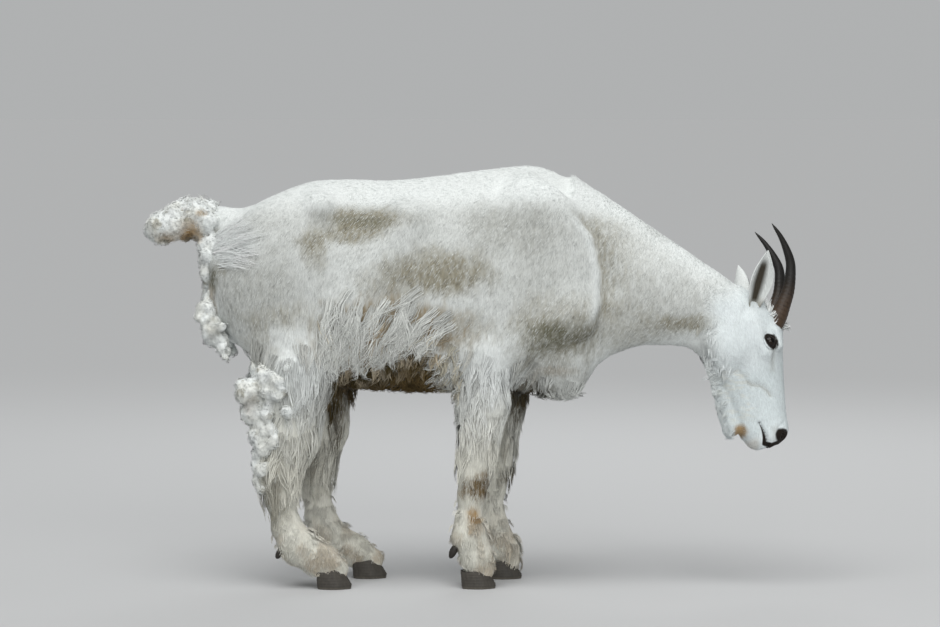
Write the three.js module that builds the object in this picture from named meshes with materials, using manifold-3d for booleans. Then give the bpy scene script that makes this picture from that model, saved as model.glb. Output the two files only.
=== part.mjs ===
// A mountain goat in its summer moult, life size, standing side-on with its head lowered.
// Millimetres. X runs forwards, Y to the animal's left and Z up, and the soles stand at Z = 0.
//
// The body is one smooth shape, written as functions that give a signed distance to its surface. Each
// named piece is a skin cast outwards from a path inside it on to that surface, and cuts with a thin gap
// divide them.
import * as THREE from "three";
import { mergeVertices } from "three/addons/utils/BufferGeometryUtils.js";
import Module from "manifold-3d";

const wasm = await Module();
wasm.setup();

// Driving sizes of the whole animal
const GAP = 0.3; // clearance between neighbouring pieces
const SKIN_CLEAR = 0.45; // how far a neighbour is grown before it is cut away, a little over the gap
const LEFT = 1;
const RIGHT = -1;
const SIDES = { left: LEFT, right: RIGHT };

const vec = (x, y, z) => new THREE.Vector3(x, y, z);
const UP = vec(0, 0, 1);
const DOWN = vec(0, 0, -1);
const LATERAL = vec(0, 1, 0);

// Seeded random numbers from 0 to 1, so that every build is the same
function randomFrom(seed) {
  let state = seed >>> 0;
  return () => {
    state = (state + 0x6d2b79f5) >>> 0;
    let t = Math.imul(state ^ (state >>> 15), 1 | state);
    t ^= t + Math.imul(t ^ (t >>> 7), 61 | t);
    return ((t ^ (t >>> 14)) >>> 0) / 4294967296;
  };
}

const clamp = (x, low, high) => Math.min(Math.max(x, low), high);
const mix = (a, b, t) => a + (b - a) * t;

// Smooth union and smooth cut of two distances. k is how far the fillet reaches.
function join(a, b, k) {
  const h = Math.max(k - Math.abs(a - b), 0) / k;
  return Math.min(a, b) - (h * h * k) / 4;
}
const carve = (a, b, k) => -join(-a, b, k);

// Each row of a table is a place along an axis and the sizes there. Between rows they follow a smooth curve.
function along(table, at) {
  const last = table.length - 1;
  if (at <= table[0][0]) return table[0].slice(1);
  if (at >= table[last][0]) return table[last].slice(1);
  let i = 0;
  while (at > table[i + 1][0]) i++;
  const step = table[i + 1][0] - table[i][0];
  const t = (at - table[i][0]) / step;
  const slope = (row, column) => {
    const before = table[Math.max(row - 1, 0)];
    const after = table[Math.min(row + 1, last)];
    return (after[column] - before[column]) / (after[0] - before[0]);
  };
  return table[i].slice(1).map((value, index) => {
    const c = index + 1;
    const a = value;
    const b = table[i + 1][c];
    const ma = slope(i, c) * step;
    const mb = slope(i + 1, c) * step;
    const t2 = t * t;
    const t3 = t2 * t;
    return (2 * t3 - 3 * t2 + 1) * a + (t3 - 2 * t2 + t) * ma + (3 * t2 - 2 * t3) * b + (t3 - t2) * mb;
  });
}

// Distance to a tapered limb from a to b. flat squeezes it sideways.
function limb(p, a, b, ra, rb, flat = 1) {
  const [abx, aby, abz] = [b.x - a.x, b.y - a.y, b.z - a.z];
  const [apx, apy, apz] = [p.x - a.x, p.y - a.y, p.z - a.z];
  const t = clamp((apx * abx + apy * aby + apz * abz) / (abx * abx + aby * aby + abz * abz), 0, 1);
  return Math.hypot(apx - abx * t, (apy - aby * t) / flat, apz - abz * t) - mix(ra, rb, t);
}

// Distance to an ellipsoid with radii r, pitched about the sideways axis so that its top leans forwards
function blob(p, centre, r, pitch = 0) {
  const dx = p.x - centre.x;
  const dz = p.z - centre.z;
  const c = Math.cos(pitch);
  const s = Math.sin(pitch);
  const [x, y, z] = [dx * c - dz * s, p.y - centre.y, dx * s + dz * c];
  const k0 = Math.hypot(x / r.x, y / r.y, z / r.z);
  const k1 = Math.hypot(x / (r.x * r.x), y / (r.y * r.y), z / (r.z * r.z));
  return k1 > 0 ? (k0 * (k0 - 1)) / k1 : -Math.min(r.x, r.y, r.z);
}

// Distance to a form with rounded sections along an axis. Each row of the table is: place along the axis,
// top, bottom, half width, height of the widest line, and how square it is above and below that line.
function sections(place, side, height, table) {
  const first = table[0][0];
  const last = table[table.length - 1][0];
  const sizes = along(table, clamp(place, first, last));
  const [top, bottom, half, widest, squareAbove, squareBelow] = sizes;
  const h = height - widest;
  const reach = h > 0 ? top - widest : widest - bottom;
  const n = h > 0 ? squareAbove : squareBelow;
  const norm = (Math.abs(side / half) ** n + Math.abs(h / reach) ** n) ** (1 / n);
  const radial = Math.hypot(side, h);
  const d = norm > 1e-6 ? radial - radial / norm : -Math.min(half, reach);
  const past = Math.max(first - place, place - last, 0);
  return past > 0 ? Math.hypot(Math.max(d, 0), past) + Math.min(d, 0) * 0.2 : d;
}

// Trunk and neck

// Along X from the rump to the chest
const TRUNK = [
  [-600, 786, 610, 44, 700, 2.0, 2.0],
  [-570, 830, 570, 84, 705, 2.0, 2.0],
  [-510, 868, 540, 110, 712, 2.0, 2.0],
  [-430, 908, 515, 126, 716, 2.1, 2.0],
  [-360, 931, 478, 130, 705, 2.1, 2.1],
  [-280, 936, 460, 136, 680, 2.0, 2.2],
  [-180, 934, 452, 150, 662, 2.0, 2.2],
  [-60, 946, 450, 158, 655, 1.9, 2.2],
  [60, 961, 452, 148, 660, 1.85, 2.1],
  [150, 966, 446, 128, 665, 1.8, 2.0],
  [230, 934, 462, 108, 660, 1.8, 1.9],
  [290, 880, 530, 76, 690, 1.9, 1.9],
];

// The neck's own axis, from inside the chest to inside the poll
const NECK_ROOT = vec(207, 0, 690);
const NECK_ALONG = vec(0.989, 0, -0.146).normalize();
const NECK_UP = vec(0.146, 0, 0.989).normalize();
const NECK = [
  [0, 250, -248, 106, 20, 2.1, 1.9],
  [60, 226, -222, 98, 20, 2.1, 1.9],
  [120, 200, -164, 86, 20, 2.1, 1.9],
  [190, 166, -121, 75, 18, 2.1, 2.0],
  [260, 133, -105, 68, 12, 2.1, 2.0],
  [320, 103, -103, 64, 4, 2.1, 2.0],
  [372, 78, -98, 60, -6, 2.0, 2.0],
  [410, 52, -84, 54, -14, 2.0, 2.0],
];

// Shoulder blade, upper arm and chest, and haunch, as their middles on the right or left side
const BLADE_TOP = vec(128, 46, 905);
const SHOULDER_POINT = vec(226, 92, 628);
const ELBOW_POINT = vec(18, 96, 545);

function trunk(p) {
  const side = vec(p.x, Math.abs(p.y), p.z);
  let d = sections(p.x, p.y, p.z, TRUNK);
  d = join(d, blob(side, vec(-440, 62, 700), vec(122, 78, 185), 0.1), 50); // haunch
  d = join(d, blob(side, vec(-345, 84, 874), vec(34, 30, 30)), 40); // hip bone
  d = join(d, blob(side, vec(-572, 48, 742), vec(26, 28, 40)), 30); // pin bone
  d = carve(d, blob(side, vec(-262, 172, 852), vec(88, 44, 50), -0.2), 50); // hollow of the flank
  d = join(d, limb(side, vec(-140, 106, 850), vec(-262, 112, 640), 28, 28), 70); // last rib
  return d;
}

function neck(p) {
  const v = vec(p.x, p.y, p.z).sub(NECK_ROOT);
  return sections(v.dot(NECK_ALONG), p.y, v.dot(NECK_UP), NECK);
}

function shoulder(p) {
  const side = vec(p.x, Math.abs(p.y), p.z);
  let d = limb(side, BLADE_TOP, SHOULDER_POINT, 46, 62, 0.72);
  d = join(d, blob(side, vec(168, 78, 770), vec(112, 46, 175), -0.3), 24); // muscle on the blade
  d = join(d, limb(side, SHOULDER_POINT, ELBOW_POINT, 60, 60, 0.75), 40); // upper arm
  d = join(d, blob(side, vec(66, 92, 640), vec(96, 38, 118), 0.2), 40); // triceps
  return d;
}

// The whole of the trunk and neck, without the legs
function body(p) {
  const side = vec(p.x, Math.abs(p.y), p.z);
  let d = join(trunk(p), neck(p), 46);
  d = join(d, shoulder(p), 26);
  d = join(d, blob(side, vec(226, 30, 520), vec(58, 62, 84)), 40); // breast
  d = carve(d, limb(side, vec(262, 128, 850), vec(318, 118, 690), 18, 24), 36); // in front of the blade
  return d;
}

// Legs. Each joint is a place and the leg's half thickness there. flat is how narrow it is from the front.
const joint = (x, y, z, r) => ({ at: vec(x, y, z), r });
const LEGS = {
  foreleg_right: {
    side: RIGHT,
    flat: 0.84,
    joints: [
      joint(18, -86, 545, 64),
      joint(30, -92, 425, 57),
      joint(16, -90, 305, 42),
      joint(11, -88, 262, 40),
      joint(4, -86, 215, 33),
      joint(-2, -84, 150, 34),
      joint(-2, -84, 118, 42),
      joint(16, -84, 72, 38),
      joint(26, -84, 42, 32),
    ],
    split: 282,
    foot: vec(20, -84, 0),
  },
  foreleg_left: {
    side: LEFT,
    flat: 0.84,
    joints: [
      joint(48, 86, 545, 64),
      joint(74, 92, 425, 56),
      joint(62, 90, 308, 42),
      joint(60, 88, 266, 40),
      joint(53, 86, 215, 33),
      joint(48, 84, 150, 34),
      joint(50, 84, 118, 42),
      joint(76, 84, 72, 38),
      joint(88, 84, 42, 32),
    ],
    split: 286,
    foot: vec(82, 84, 0),
  },
  hindleg_right: {
    side: RIGHT,
    flat: 0.8,
    joints: [
      joint(-405, -72, 590, 80),
      joint(-396, -92, 480, 84),
      joint(-410, -96, 350, 62),
      joint(-436, -96, 268, 46),
      joint(-436, -94, 215, 38),
      joint(-418, -92, 140, 36),
      joint(-398, -92, 104, 44),
      joint(-338, -92, 64, 40),
      joint(-308, -92, 42, 32),
    ],
    split: 300,
    foot: vec(-310, -92, 0),
  },
  hindleg_left: {
    side: LEFT,
    flat: 0.8,
    joints: [
      joint(-385, 72, 590, 80),
      joint(-350, 92, 480, 84),
      joint(-344, 96, 350, 62),
      joint(-362, 96, 268, 46),
      joint(-362, 94, 215, 38),
      joint(-350, 92, 145, 36),
      joint(-336, 92, 108, 43),
      joint(-272, 92, 64, 39),
      joint(-232, 92, 42, 32),
    ],
    split: 300,
    foot: vec(-234, 92, 0),
  },
};

function leg(p, { joints, flat }) {
  let d = Infinity;
  for (let i = 1; i < joints.length; i++) {
    const piece = limb(p, joints[i - 1].at, joints[i].at, joints[i - 1].r, joints[i].r, flat);
    d = i === 1 ? piece : join(d, piece, 18);
  }
  return d;
}

// The body with the legs that hang from it
function goat(p) {
  let d = body(p);
  for (const name in LEGS) {
    if (p.y * LEGS[name].side > -30) d = join(d, leg(p, LEGS[name]), 44);
  }
  return d;
}

// Head, in its own frame: s runs from the poll to the lips, h towards the forehead and w to the animal's left
const POLL = vec(616, 0, 651);
const HEAD_S = vec(0.258, -0.142, -0.955).normalize();
const HEAD_H = new THREE.Vector3().crossVectors(HEAD_S, vec(-0.27, 0.94, -0.21)).normalize();
const HEAD_W = new THREE.Vector3().crossVectors(HEAD_H, HEAD_S);
const headPoint = (s, h, w) =>
  POLL.clone().addScaledVector(HEAD_S, s).addScaledVector(HEAD_H, h).addScaledVector(HEAD_W, w);
const headFrame = (p) => {
  const v = vec(p.x, p.y, p.z).sub(POLL);
  return vec(v.dot(HEAD_S), v.dot(HEAD_W), v.dot(HEAD_H));
};

const HEAD = [
  [-28, 22, -62, 36, -18, 2.0, 2.0],
  [0, 50, -92, 50, -10, 2.0, 2.0],
  [36, 72, -108, 56, 0, 2.1, 1.8],
  [76, 88, -113, 57, 6, 2.2, 1.7],
  [110, 82, -112, 54, 12, 2.2, 1.6],
  [138, 74, -116, 49, 12, 2.1, 1.5],
  [170, 67, -116, 43, 8, 2.0, 1.5],
  [210, 58, -110, 38, 4, 1.9, 1.6],
  [250, 49, -97, 35, -2, 1.9, 1.7],
  [285, 42, -82, 33, -6, 1.9, 1.9],
  [312, 38, -70, 32, -10, 2.0, 2.0],
  [330, 26, -62, 26, -14, 2.0, 2.0],
  [341, 6, -50, 16, -22, 2.0, 2.0],
];
const EYE = { s: 111, h: 29.5, w: 51.5, r: 16 };

function head(p) {
  const q = headFrame(p);
  const m = vec(q.x, Math.abs(q.y), q.z);
  let d = sections(q.x, q.y, q.z, HEAD);
  d = join(d, limb(m, vec(96, 44, 52), vec(124, 50, 48), 17, 13), 14); // brow
  d = join(d, limb(m, vec(132, 44, 18), vec(60, 46, 2), 14, 16), 22); // cheekbone
  d = join(d, blob(m, vec(86, 34, -52), vec(54, 24, 48)), 24); // chewing muscle
  d = join(d, limb(m, vec(78, 28, -94), vec(300, 13, -58), 22, 15), 26); // lower jaw
  d = join(d, limb(m, vec(196, 5, -99), vec(282, 4, -97), 17, 17), 14); // beard
  d = join(d, blob(m, vec(312, 15, 2), vec(24, 17, 24)), 14); // wing of the nostril
  d = join(d, blob(m, vec(322, 0, -48), vec(17, 20, 19)), 14); // chin
  d = carve(d, blob(m, vec(EYE.s, EYE.w + 14, EYE.h), vec(20, 10, 16)), 8); // socket
  return d;
}

// Meshes

// A mesh's geometry as a closed solid
function solid(geometry) {
  const bare = geometry.clone();
  for (const name of Object.keys(bare.attributes)) if (name !== "position") bare.deleteAttribute(name);
  const merged = mergeVertices(bare, 1e-3);
  return new wasm.Manifold(
    new wasm.Mesh({
      numProp: 3,
      vertProperties: merged.attributes.position.array,
      triVerts: new Uint32Array(merged.index.array),
    }),
  );
}

function geometryOf(made) {
  const mesh = made.getMesh();
  return new THREE.BufferGeometry()
    .setAttribute("position", new THREE.BufferAttribute(mesh.vertProperties, 3))
    .setIndex(new THREE.BufferAttribute(mesh.triVerts, 1));
}

// The largest closed surface, which fills a sealed hollow and drops a loose scrap
function largest(made) {
  return made.decompose().reduce((best, piece) => (piece.volume() > best.volume() ? piece : best));
}

// A closed skin of rings of points, from one end point to the other
function ringsToGeometry(start, rings, end) {
  const sides = rings[0].length;
  const points = [start, ...rings.flat(), end];
  const faces = [];
  const at = (ring, side) => 1 + ring * sides + (side % sides);
  for (let side = 0; side < sides; side++) {
    faces.push(0, at(0, side + 1), at(0, side));
    for (let ring = 1; ring < rings.length; ring++) {
      faces.push(at(ring - 1, side), at(ring - 1, side + 1), at(ring, side + 1));
      faces.push(at(ring - 1, side), at(ring, side + 1), at(ring, side));
    }
    faces.push(points.length - 1, at(rings.length - 1, side), at(rings.length - 1, side + 1));
  }
  return new THREE.BufferGeometry().setFromPoints(points).setIndex(faces);
}

// Where a ray from inside first meets the surface of a shape that is grown by grow
function castTo(shape, from, direction, reach, grow) {
  const STEP = 7;
  const probe = (r) => shape(from.clone().addScaledVector(direction, r)) - grow;
  let near = 0;
  let far = STEP;
  while (far < reach && probe(far) < 0) {
    near = far;
    far += STEP;
  }
  if (far >= reach) return reach;
  for (let i = 0; i < 14; i++) {
    const middle = (near + far) / 2;
    if (probe(middle) < 0) near = middle;
    else far = middle;
  }
  return Math.max(near, 0.5);
}

// A skin cast from a path inside a shape: a fan of rings at each end and rings across the path between them
function castSkin(shape, path, { rings, sides, fan = 5, reach = 400, grow = 0 }) {
  const curve = new THREE.CatmullRomCurve3(path);
  const stations = [];
  for (let i = 1; i <= fan; i++) stations.push([0, -Math.PI / 2 + (Math.PI / 2) * (i / (fan + 1))]);
  for (let i = 0; i <= rings; i++) stations.push([i / rings, 0]);
  for (let i = 1; i <= fan; i++) stations.push([1, (Math.PI / 2) * (i / (fan + 1))]);
  const cast = (centre, direction) =>
    centre.clone().addScaledVector(direction, castTo(shape, centre, direction, reach, grow));
  const skin = stations.map(([u, tilt]) => {
    const centre = curve.getPointAt(u);
    const forward = curve.getTangentAt(u);
    const across = LATERAL.clone().addScaledVector(forward, -LATERAL.dot(forward)).normalize();
    const over = new THREE.Vector3().crossVectors(forward, across);
    return Array.from({ length: sides }, (_, i) => {
      const angle = (2 * Math.PI * i) / sides;
      const out = across.clone().multiplyScalar(Math.cos(angle)).addScaledVector(over, Math.sin(angle));
      return cast(centre, out.multiplyScalar(Math.cos(tilt)).addScaledVector(forward, Math.sin(tilt)));
    });
  });
  const start = cast(path[0], curve.getTangentAt(0).negate());
  const end = cast(path[path.length - 1], curve.getTangentAt(1));
  return solid(ringsToGeometry(start, skin, end));
}

// A block that holds everything on one side of a plane, towards its normal
const FAR = 2400;
function halfSpace(point, normal) {
  const block = new THREE.BoxGeometry(FAR, FAR, FAR).translate(0, 0, FAR / 2);
  block.applyQuaternion(new THREE.Quaternion().setFromUnitVectors(UP, normal.clone().normalize()));
  return solid(block.translate(point.x, point.y, point.z));
}
// The part of a piece that lies towards a plane's normal, half the gap clear of it
const keepPast = (made, point, normal) =>
  made.intersect(halfSpace(point.clone().addScaledVector(normal.clone().normalize(), GAP / 2), normal));

function box(low, high) {
  const size = high.clone().sub(low);
  const middle = low.clone().add(high).multiplyScalar(0.5);
  return new THREE.BoxGeometry(size.x, size.y, size.z).translate(middle.x, middle.y, middle.z);
}

// Cuts between the named pieces
const NECK_CUT = { at: vec(283, 0, 760), normal: vec(1, 0, 0.06).normalize() };
const HEAD_CUT = { at: vec(588, 0, 640), normal: vec(0.92, 0, -0.4).normalize() };
const TAIL_CUT = { x: -584, z: 786 };
const FORE_CUT = { at: vec(0, 0, 446), normal: DOWN };
const HIND_CUT = { at: vec(-300, 0, 446), normal: vec(-0.39, 0, -0.92).normalize() };
const LEG_ROOM = 42; // how far from a leg its own hair may stand and still be part of it
const legCut = (name) => (name.startsWith("foreleg") ? FORE_CUT : HIND_CUT);

// The space that belongs to a leg. Grown by the gap, it is what the trunk leaves free.
function legRoom(name, grow) {
  const spec = LEGS[name];
  const path = spec.joints.map(({ at }) => at);
  const near = (p) => leg(p, spec) - LEG_ROOM;
  const room = castSkin(near, path, { rings: 7, sides: 10, fan: 2, reach: 260, grow });
  const { at, normal } = legCut(name);
  const middle = vec(0, -grow * spec.side, 0);
  return room
    .intersect(halfSpace(at.clone().addScaledVector(normal, -grow), normal))
    .intersect(halfSpace(middle, vec(0, spec.side, 0)));
}

// Wool and hair

const gradient = (shape, p) => {
  const E = 3;
  return vec(
    shape(vec(p.x + E, p.y, p.z)) - shape(vec(p.x - E, p.y, p.z)),
    shape(vec(p.x, p.y + E, p.z)) - shape(vec(p.x, p.y - E, p.z)),
    shape(vec(p.x, p.y, p.z + E)) - shape(vec(p.x, p.y, p.z - E)),
  ).normalize();
};

// How wide and how thick a lock is at each ring, as shares of its full size, from its root to near its tip
const LOCK_WIDTHS = [0.5, 0.95, 1, 0.62];
const LOCK_THICKS = [0.5, 0.62, 1, 0.8];
const ROOT_DEPTH = 11; // how far the roots of locks are sunk
const LOCK_STAND = 3; // how far a lock's flat underside stands off the skin past its root

// A flat, tapered lock of hair that starts under the surface and follows it along a run that sags and bends.
// The underside is flat and the back is ridged. grow thickens it all round, to cut it out of a neighbour.
function lock(shape, { root, run, length, width, thick, rise, sag, bend }, grow = 0) {
  const steps = LOCK_WIDTHS.length;
  const step = length / steps;
  let p = root.clone();
  const way = run.clone().normalize();
  const rings = [];
  for (let i = 0; i < steps; i++) {
    const out = gradient(shape, p);
    way.addScaledVector(DOWN, sag).addScaledVector(new THREE.Vector3().crossVectors(out, way), bend);
    way.addScaledVector(out, -way.dot(out) * 0.9).normalize();
    const level = i === 0 ? -ROOT_DEPTH : mix(LOCK_STAND, rise, (i - 1) / (steps - 1));
    const off = shape(p) - level;
    p.addScaledVector(out, off < 0 || i === 0 ? -off : -Math.min(off, step * 0.25));
    const side = new THREE.Vector3().crossVectors(out, way).normalize();
    const w = (LOCK_WIDTHS[i] * width) / 2 + grow * 2;
    const corner = (a, b) => p.clone().addScaledVector(side, a).addScaledVector(out, b);
    rings.push([corner(w, -grow), corner(0, LOCK_THICKS[i] * thick + grow * 1.5), corner(-w, -grow)]);
    p = p.clone().addScaledVector(way, step);
  }
  const out = gradient(shape, p);
  const off = shape(p) - rise;
  if (off < 0) p.addScaledVector(out, -off);
  const first = rings[0];
  const start = first[0].clone().add(first[1]).add(first[2]).divideScalar(3).addScaledVector(way, -1 - grow);
  return solid(ringsToGeometry(start, rings, p.addScaledVector(way, grow * 3)));
}

// A rounded clump of wool
const CLUMP_MESH = [7, 4];
function clump({ centre, radius, squash, seed }, grow = 0) {
  const random = randomFrom(seed);
  const ball = new THREE.SphereGeometry(1, ...CLUMP_MESH);
  const place = ball.attributes.position;
  const bumps = new Map();
  for (let i = 0; i < place.count; i++) {
    const p = vec(place.getX(i), place.getY(i), place.getZ(i));
    const key = p.toArray().map((v) => Math.round(v * 100)).join();
    if (!bumps.has(key)) bumps.set(key, 0.84 + 0.3 * random());
    p.multiplyScalar(radius * bumps.get(key) + grow);
    place.setXYZ(i, centre.x + p.x, centre.y + p.y * squash, centre.z + p.z * 1.15);
  }
  return solid(ball);
}

// Rows of locks on the trunk. Roots lie where rays along out, from points spaced evenly between from and to,
// leave the body. Every row is made on both sides, mirrored, with its own random spread.
function row(from, to, out, count, run, length, width, more = {}) {
  return { from, to, out, count, run, length, width, ...more };
}
const SIDEWAYS = vec(0, 1, 0);
const TRUNK_ROWS = [
  row(vec(-318, 40, 676), vec(-40, 40, 672), SIDEWAYS, 7, vec(-0.22, 0, -1), 124, 37),
  row(vec(-300, 40, 612), vec(-26, 40, 602), SIDEWAYS, 7, vec(-0.28, 0, -1), 122, 37),
  row(vec(-296, 30, 548), vec(-66, 30, 540), vec(0, 1, -0.2), 5, vec(-0.1, 0, -1), 104, 36, { rise: 24 }),
  row(vec(-286, 0, 560), vec(-96, 0, 560), vec(0, 0.4, -1), 4, vec(-0.8, 0, -0.6), 96, 42, { rise: 36 }),
  row(vec(160, 0, 560), vec(258, 0, 560), vec(0, 0.3, -1), 3, vec(-0.45, 0.1, -1), 84, 24, {
    sag: 0.6,
    rise: 28,
  }),
  row(vec(-520, 0, 780), vec(-520, 0, 640), vec(-1, 0.3, -0.1), 3, vec(-0.2, 0.1, -1), 92, 40, { rise: 18 }),
  row(vec(-500, 30, 600), vec(-350, 30, 610), SIDEWAYS, 3, vec(-0.1, 0, -1), 130, 38),
  row(vec(-40, 40, 575), vec(50, 40, 560), SIDEWAYS, 3, vec(-0.1, 0, -1), 110, 32),
  row(vec(-20, 80, 520), vec(-20, 80, 500), vec(-1, 0.2, 0), 1, vec(-0.35, 0, -1), 110, 36, { rise: 22 }),
];
const SPREAD = 9; // how far roots stray from their row, up and down

function lockLook(random, { length, width, thick = 10, rise = 17, sag = 0.14 }) {
  const size = 0.85 + 0.3 * random();
  const bend = 0.24 * (random() - 0.5);
  return { length: length * size, width: width * size, thick: thick * size, rise, sag, bend };
}

function trunkCoat(shape) {
  const random = randomFrom(11);
  const locks = [];
  for (const line of TRUNK_ROWS) {
    for (const side of [RIGHT, LEFT]) {
      for (let i = 0; i < line.count; i++) {
        const from = line.from.clone().lerp(line.to, (i + 0.3 + 0.4 * random()) / line.count);
        from.z += SPREAD * (random() - 0.5) * 2;
        from.y *= side;
        const out = vec(line.out.x, line.out.y * side, line.out.z).normalize();
        const root = from.addScaledVector(out, castTo(shape, from, out, 400, 0));
        const run = vec(line.run.x + 0.35 * (random() - 0.5), line.run.y * side, line.run.z);
        locks.push({ root, run, ...lockLook(random, line) });
      }
    }
  }
  return locks;
}

// Rows of locks around the legs: the height of the roots, and angles from straight ahead round the outside
const LEG_ROWS = {
  foreleg: [
    { height: 420, angles: [45, 110, 160, 205], length: 124, width: 38, rise: 20 },
    { height: 352, angles: [85, 150], length: 96, width: 34 },
    { height: 176, angles: [130, 180, 230], length: 66, width: 26, thick: 8, rise: 9 },
  ],
  hindleg: [
    { height: 470, angles: [30, 80, 130], length: 136, width: 48 },
    { height: 375, angles: [50, 105, 160], length: 110, width: 40 },
    { height: 156, angles: [140, 180, 225], length: 58, width: 26, thick: 8, rise: 9 },
  ],
};

// The middle of a leg at a height
function middleOf({ joints }, height) {
  let i = 1;
  while (i < joints.length - 1 && joints[i].at.z > height) i++;
  const [above, below] = [joints[i - 1].at, joints[i].at];
  return above.clone().lerp(below, clamp((above.z - height) / (above.z - below.z), 0, 1));
}

function legCoat(name, shape) {
  const spec = LEGS[name];
  const random = randomFrom(name.length * 31 + spec.side);
  const locks = [];
  for (const line of LEG_ROWS[name.split("_")[0]]) {
    for (const angle of line.angles) {
      const turn = THREE.MathUtils.degToRad(angle + 16 * (random() - 0.5));
      const out = vec(Math.cos(turn), spec.side * Math.sin(turn), 0);
      const from = middleOf(spec, line.height + 20 * (random() - 0.5));
      const root = from.addScaledVector(out, castTo(shape, from, out, 260, 0));
      locks.push({ root, run: vec(-0.12, 0, -1), ...lockLook(random, line) });
    }
  }
  return locks;
}

// Hair round the tail, laid towards its tip, and on the jaw, hanging from its edge
function tailCoat(shape) {
  const random = randomFrom(21);
  const locks = [];
  for (const [x, turns] of [[-606, [30, 150, 270]], [-660, [0, 90, 180, 270]]]) {
    for (const turn of turns) {
      const angle = THREE.MathUtils.degToRad(turn + 20 * random());
      const from = vec(x, 0, 832);
      const out = vec(0, Math.cos(angle), Math.sin(angle));
      const root = from.addScaledVector(out, castTo(shape, from, out, 90, 0));
      const look = lockLook(random, { length: 74, width: 32, rise: 8, sag: 0.08 });
      locks.push({ root, run: vec(-1, 0, -0.1), ...look });
    }
  }
  return locks;
}

const JAW_ROWS = [[156, 0.25], [204, 0.35], [246, 0.3]];
function jawCoat(shape) {
  const random = randomFrom(33);
  const locks = [];
  for (const side of [RIGHT, LEFT]) {
    for (const [s, aside] of JAW_ROWS) {
      const from = headPoint(s, -40, 0);
      const out = HEAD_H.clone().negate().addScaledVector(HEAD_W, side * aside).normalize();
      const root = from.addScaledVector(out, castTo(shape, from, out, 120, 0));
      const look = lockLook(random, { length: 66, width: 26, thick: 7, rise: 7, sag: 0.12 });
      locks.push({ root, run: vec(-0.15, 0, -1), ...look });
    }
  }
  return locks;
}

// Short stiff tufts on the head: where each starts (s, h, w), which way it points, its length and width
const HEAD_TUFTS = [
  [[34, 48, 22], [-0.35, 0.9, 0.1], 34, 20],
  [[14, 38, 4], [-0.8, 0.6, 0.1], 40, 24],
  [[80, 80, 7], [-0.1, 1, 0.1], 32, 13],
];
function headTufts() {
  const tufts = [];
  for (const side of [RIGHT, LEFT]) {
    for (const [[s, h, w], [ds, dh, dw], length, width] of HEAD_TUFTS) {
      const cone = new THREE.ConeGeometry(width / 2, length, 5).translate(0, length / 2 - 6, 0);
      const way = headPoint(ds, dh, dw * side).sub(POLL).normalize();
      cone.applyQuaternion(new THREE.Quaternion().setFromUnitVectors(vec(0, 1, 0), way));
      const at = headPoint(s, h, w * side);
      tufts.push(solid(cone.translate(at.x, at.y, at.z)));
    }
  }
  return tufts;
}

// Wool that clings in clumps: down the back of the hind legs, and on the rump beside the tail
const CLUMPS = [
  [-512, 110, 452, 36],
  [-500, 96, 400, 33],
  [-486, 104, 352, 28],
  [-478, 96, 306, 24],
  [-560, 84, 540, 30],
  [-596, 44, 606, 30],
  [-606, 26, 700, 26],
];
function woolClumps() {
  const random = randomFrom(5);
  return [RIGHT, LEFT].flatMap((side) =>
    CLUMPS.map(([x, y, z, radius], i) => ({
      centre: vec(x + 8 * (random() - 0.5) + (side === LEFT && z < 500 ? (500 - z) * 0.28 : 0), y * side, z),
      radius,
      squash: 0.85,
      seed: 40 + i + side,
    })),
  );
}

// Pieces before they are divided

function trunkSkin() {
  const path = [vec(-500, 0, 735), vec(-300, 0, 715), vec(-60, 0, 700), vec(180, 0, 700)];
  return castSkin(body, path, { rings: 16, sides: 26, fan: 4, reach: 330 });
}

// A leg with its fillet into the trunk. Away from the leg it lies a little inside the trunk's own skin.
const UNDER_TRUNK = 9;
const legShape = (name) => (p) => {
  const own = leg(p, LEGS[name]);
  return Math.max(join(body(p) + UNDER_TRUNK, own, 44), own - 60, 4 - p.y * LEGS[name].side);
};

function legSkin(name) {
  const path = LEGS[name].joints.map(({ at }) => at);
  return castSkin(legShape(name), path, { rings: 15, sides: 12, fan: 1, reach: 170 });
}

const tailPath = [vec(-500, 0, 824), vec(-600, 0, 838), vec(-680, 0, 822), vec(-722, 0, 813)];
function tailShape(p) {
  const root = limb(p, vec(-500, 0, 822), vec(-625, 0, 842), 42, 40);
  return join(root, limb(p, vec(-625, 0, 842), vec(-718, 0, 814), 38, 31), 20);
}
const tailSkin = castSkin(tailShape, tailPath, { rings: 8, sides: 12, fan: 3, reach: 120 });

const unite = (pieces) => wasm.Manifold.union(pieces);

const skins = {};
const coats = { trunk: trunkCoat(goat) };
const wool = woolClumps();
for (const name in LEGS) {
  skins[name] = legSkin(name);
  coats[name] = legCoat(name, goat);
}

// Locks and clumps as solids
const grownFrom = (locks, grow = 0, shape = goat) => locks.map((one) => lock(shape, one, grow));
const grownWool = (clumps, grow = 0) => clumps.map((one) => clump(one, grow));

const TORSO_WOOL = wool.filter(({ centre }) => centre.z > 500);
const legWool = (name) => wool.filter(({ centre }) => centre.z <= 500 && centre.y * LEGS[name].side > 0);

function makeTorso() {
  const legs = Object.keys(LEGS);
  let made = unite([trunkSkin(), tailSkin, ...legs.map((name) => skins[name])]);
  made = keepPast(made, NECK_CUT.at, NECK_CUT.normal.clone().negate());
  for (const name of legs) made = made.subtract(legRoom(name, GAP));
  made = made.subtract(solid(tailRoom(GAP)));
  return largest(unite([made, ...grownFrom(coats.trunk), ...grownWool(TORSO_WOOL)]));
}

const tailRoom = (grow) => box(vec(-900, -200, TAIL_CUT.z - grow), vec(TAIL_CUT.x + grow, 200, 1000));

// Horns, ears, eyes, hooves

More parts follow.
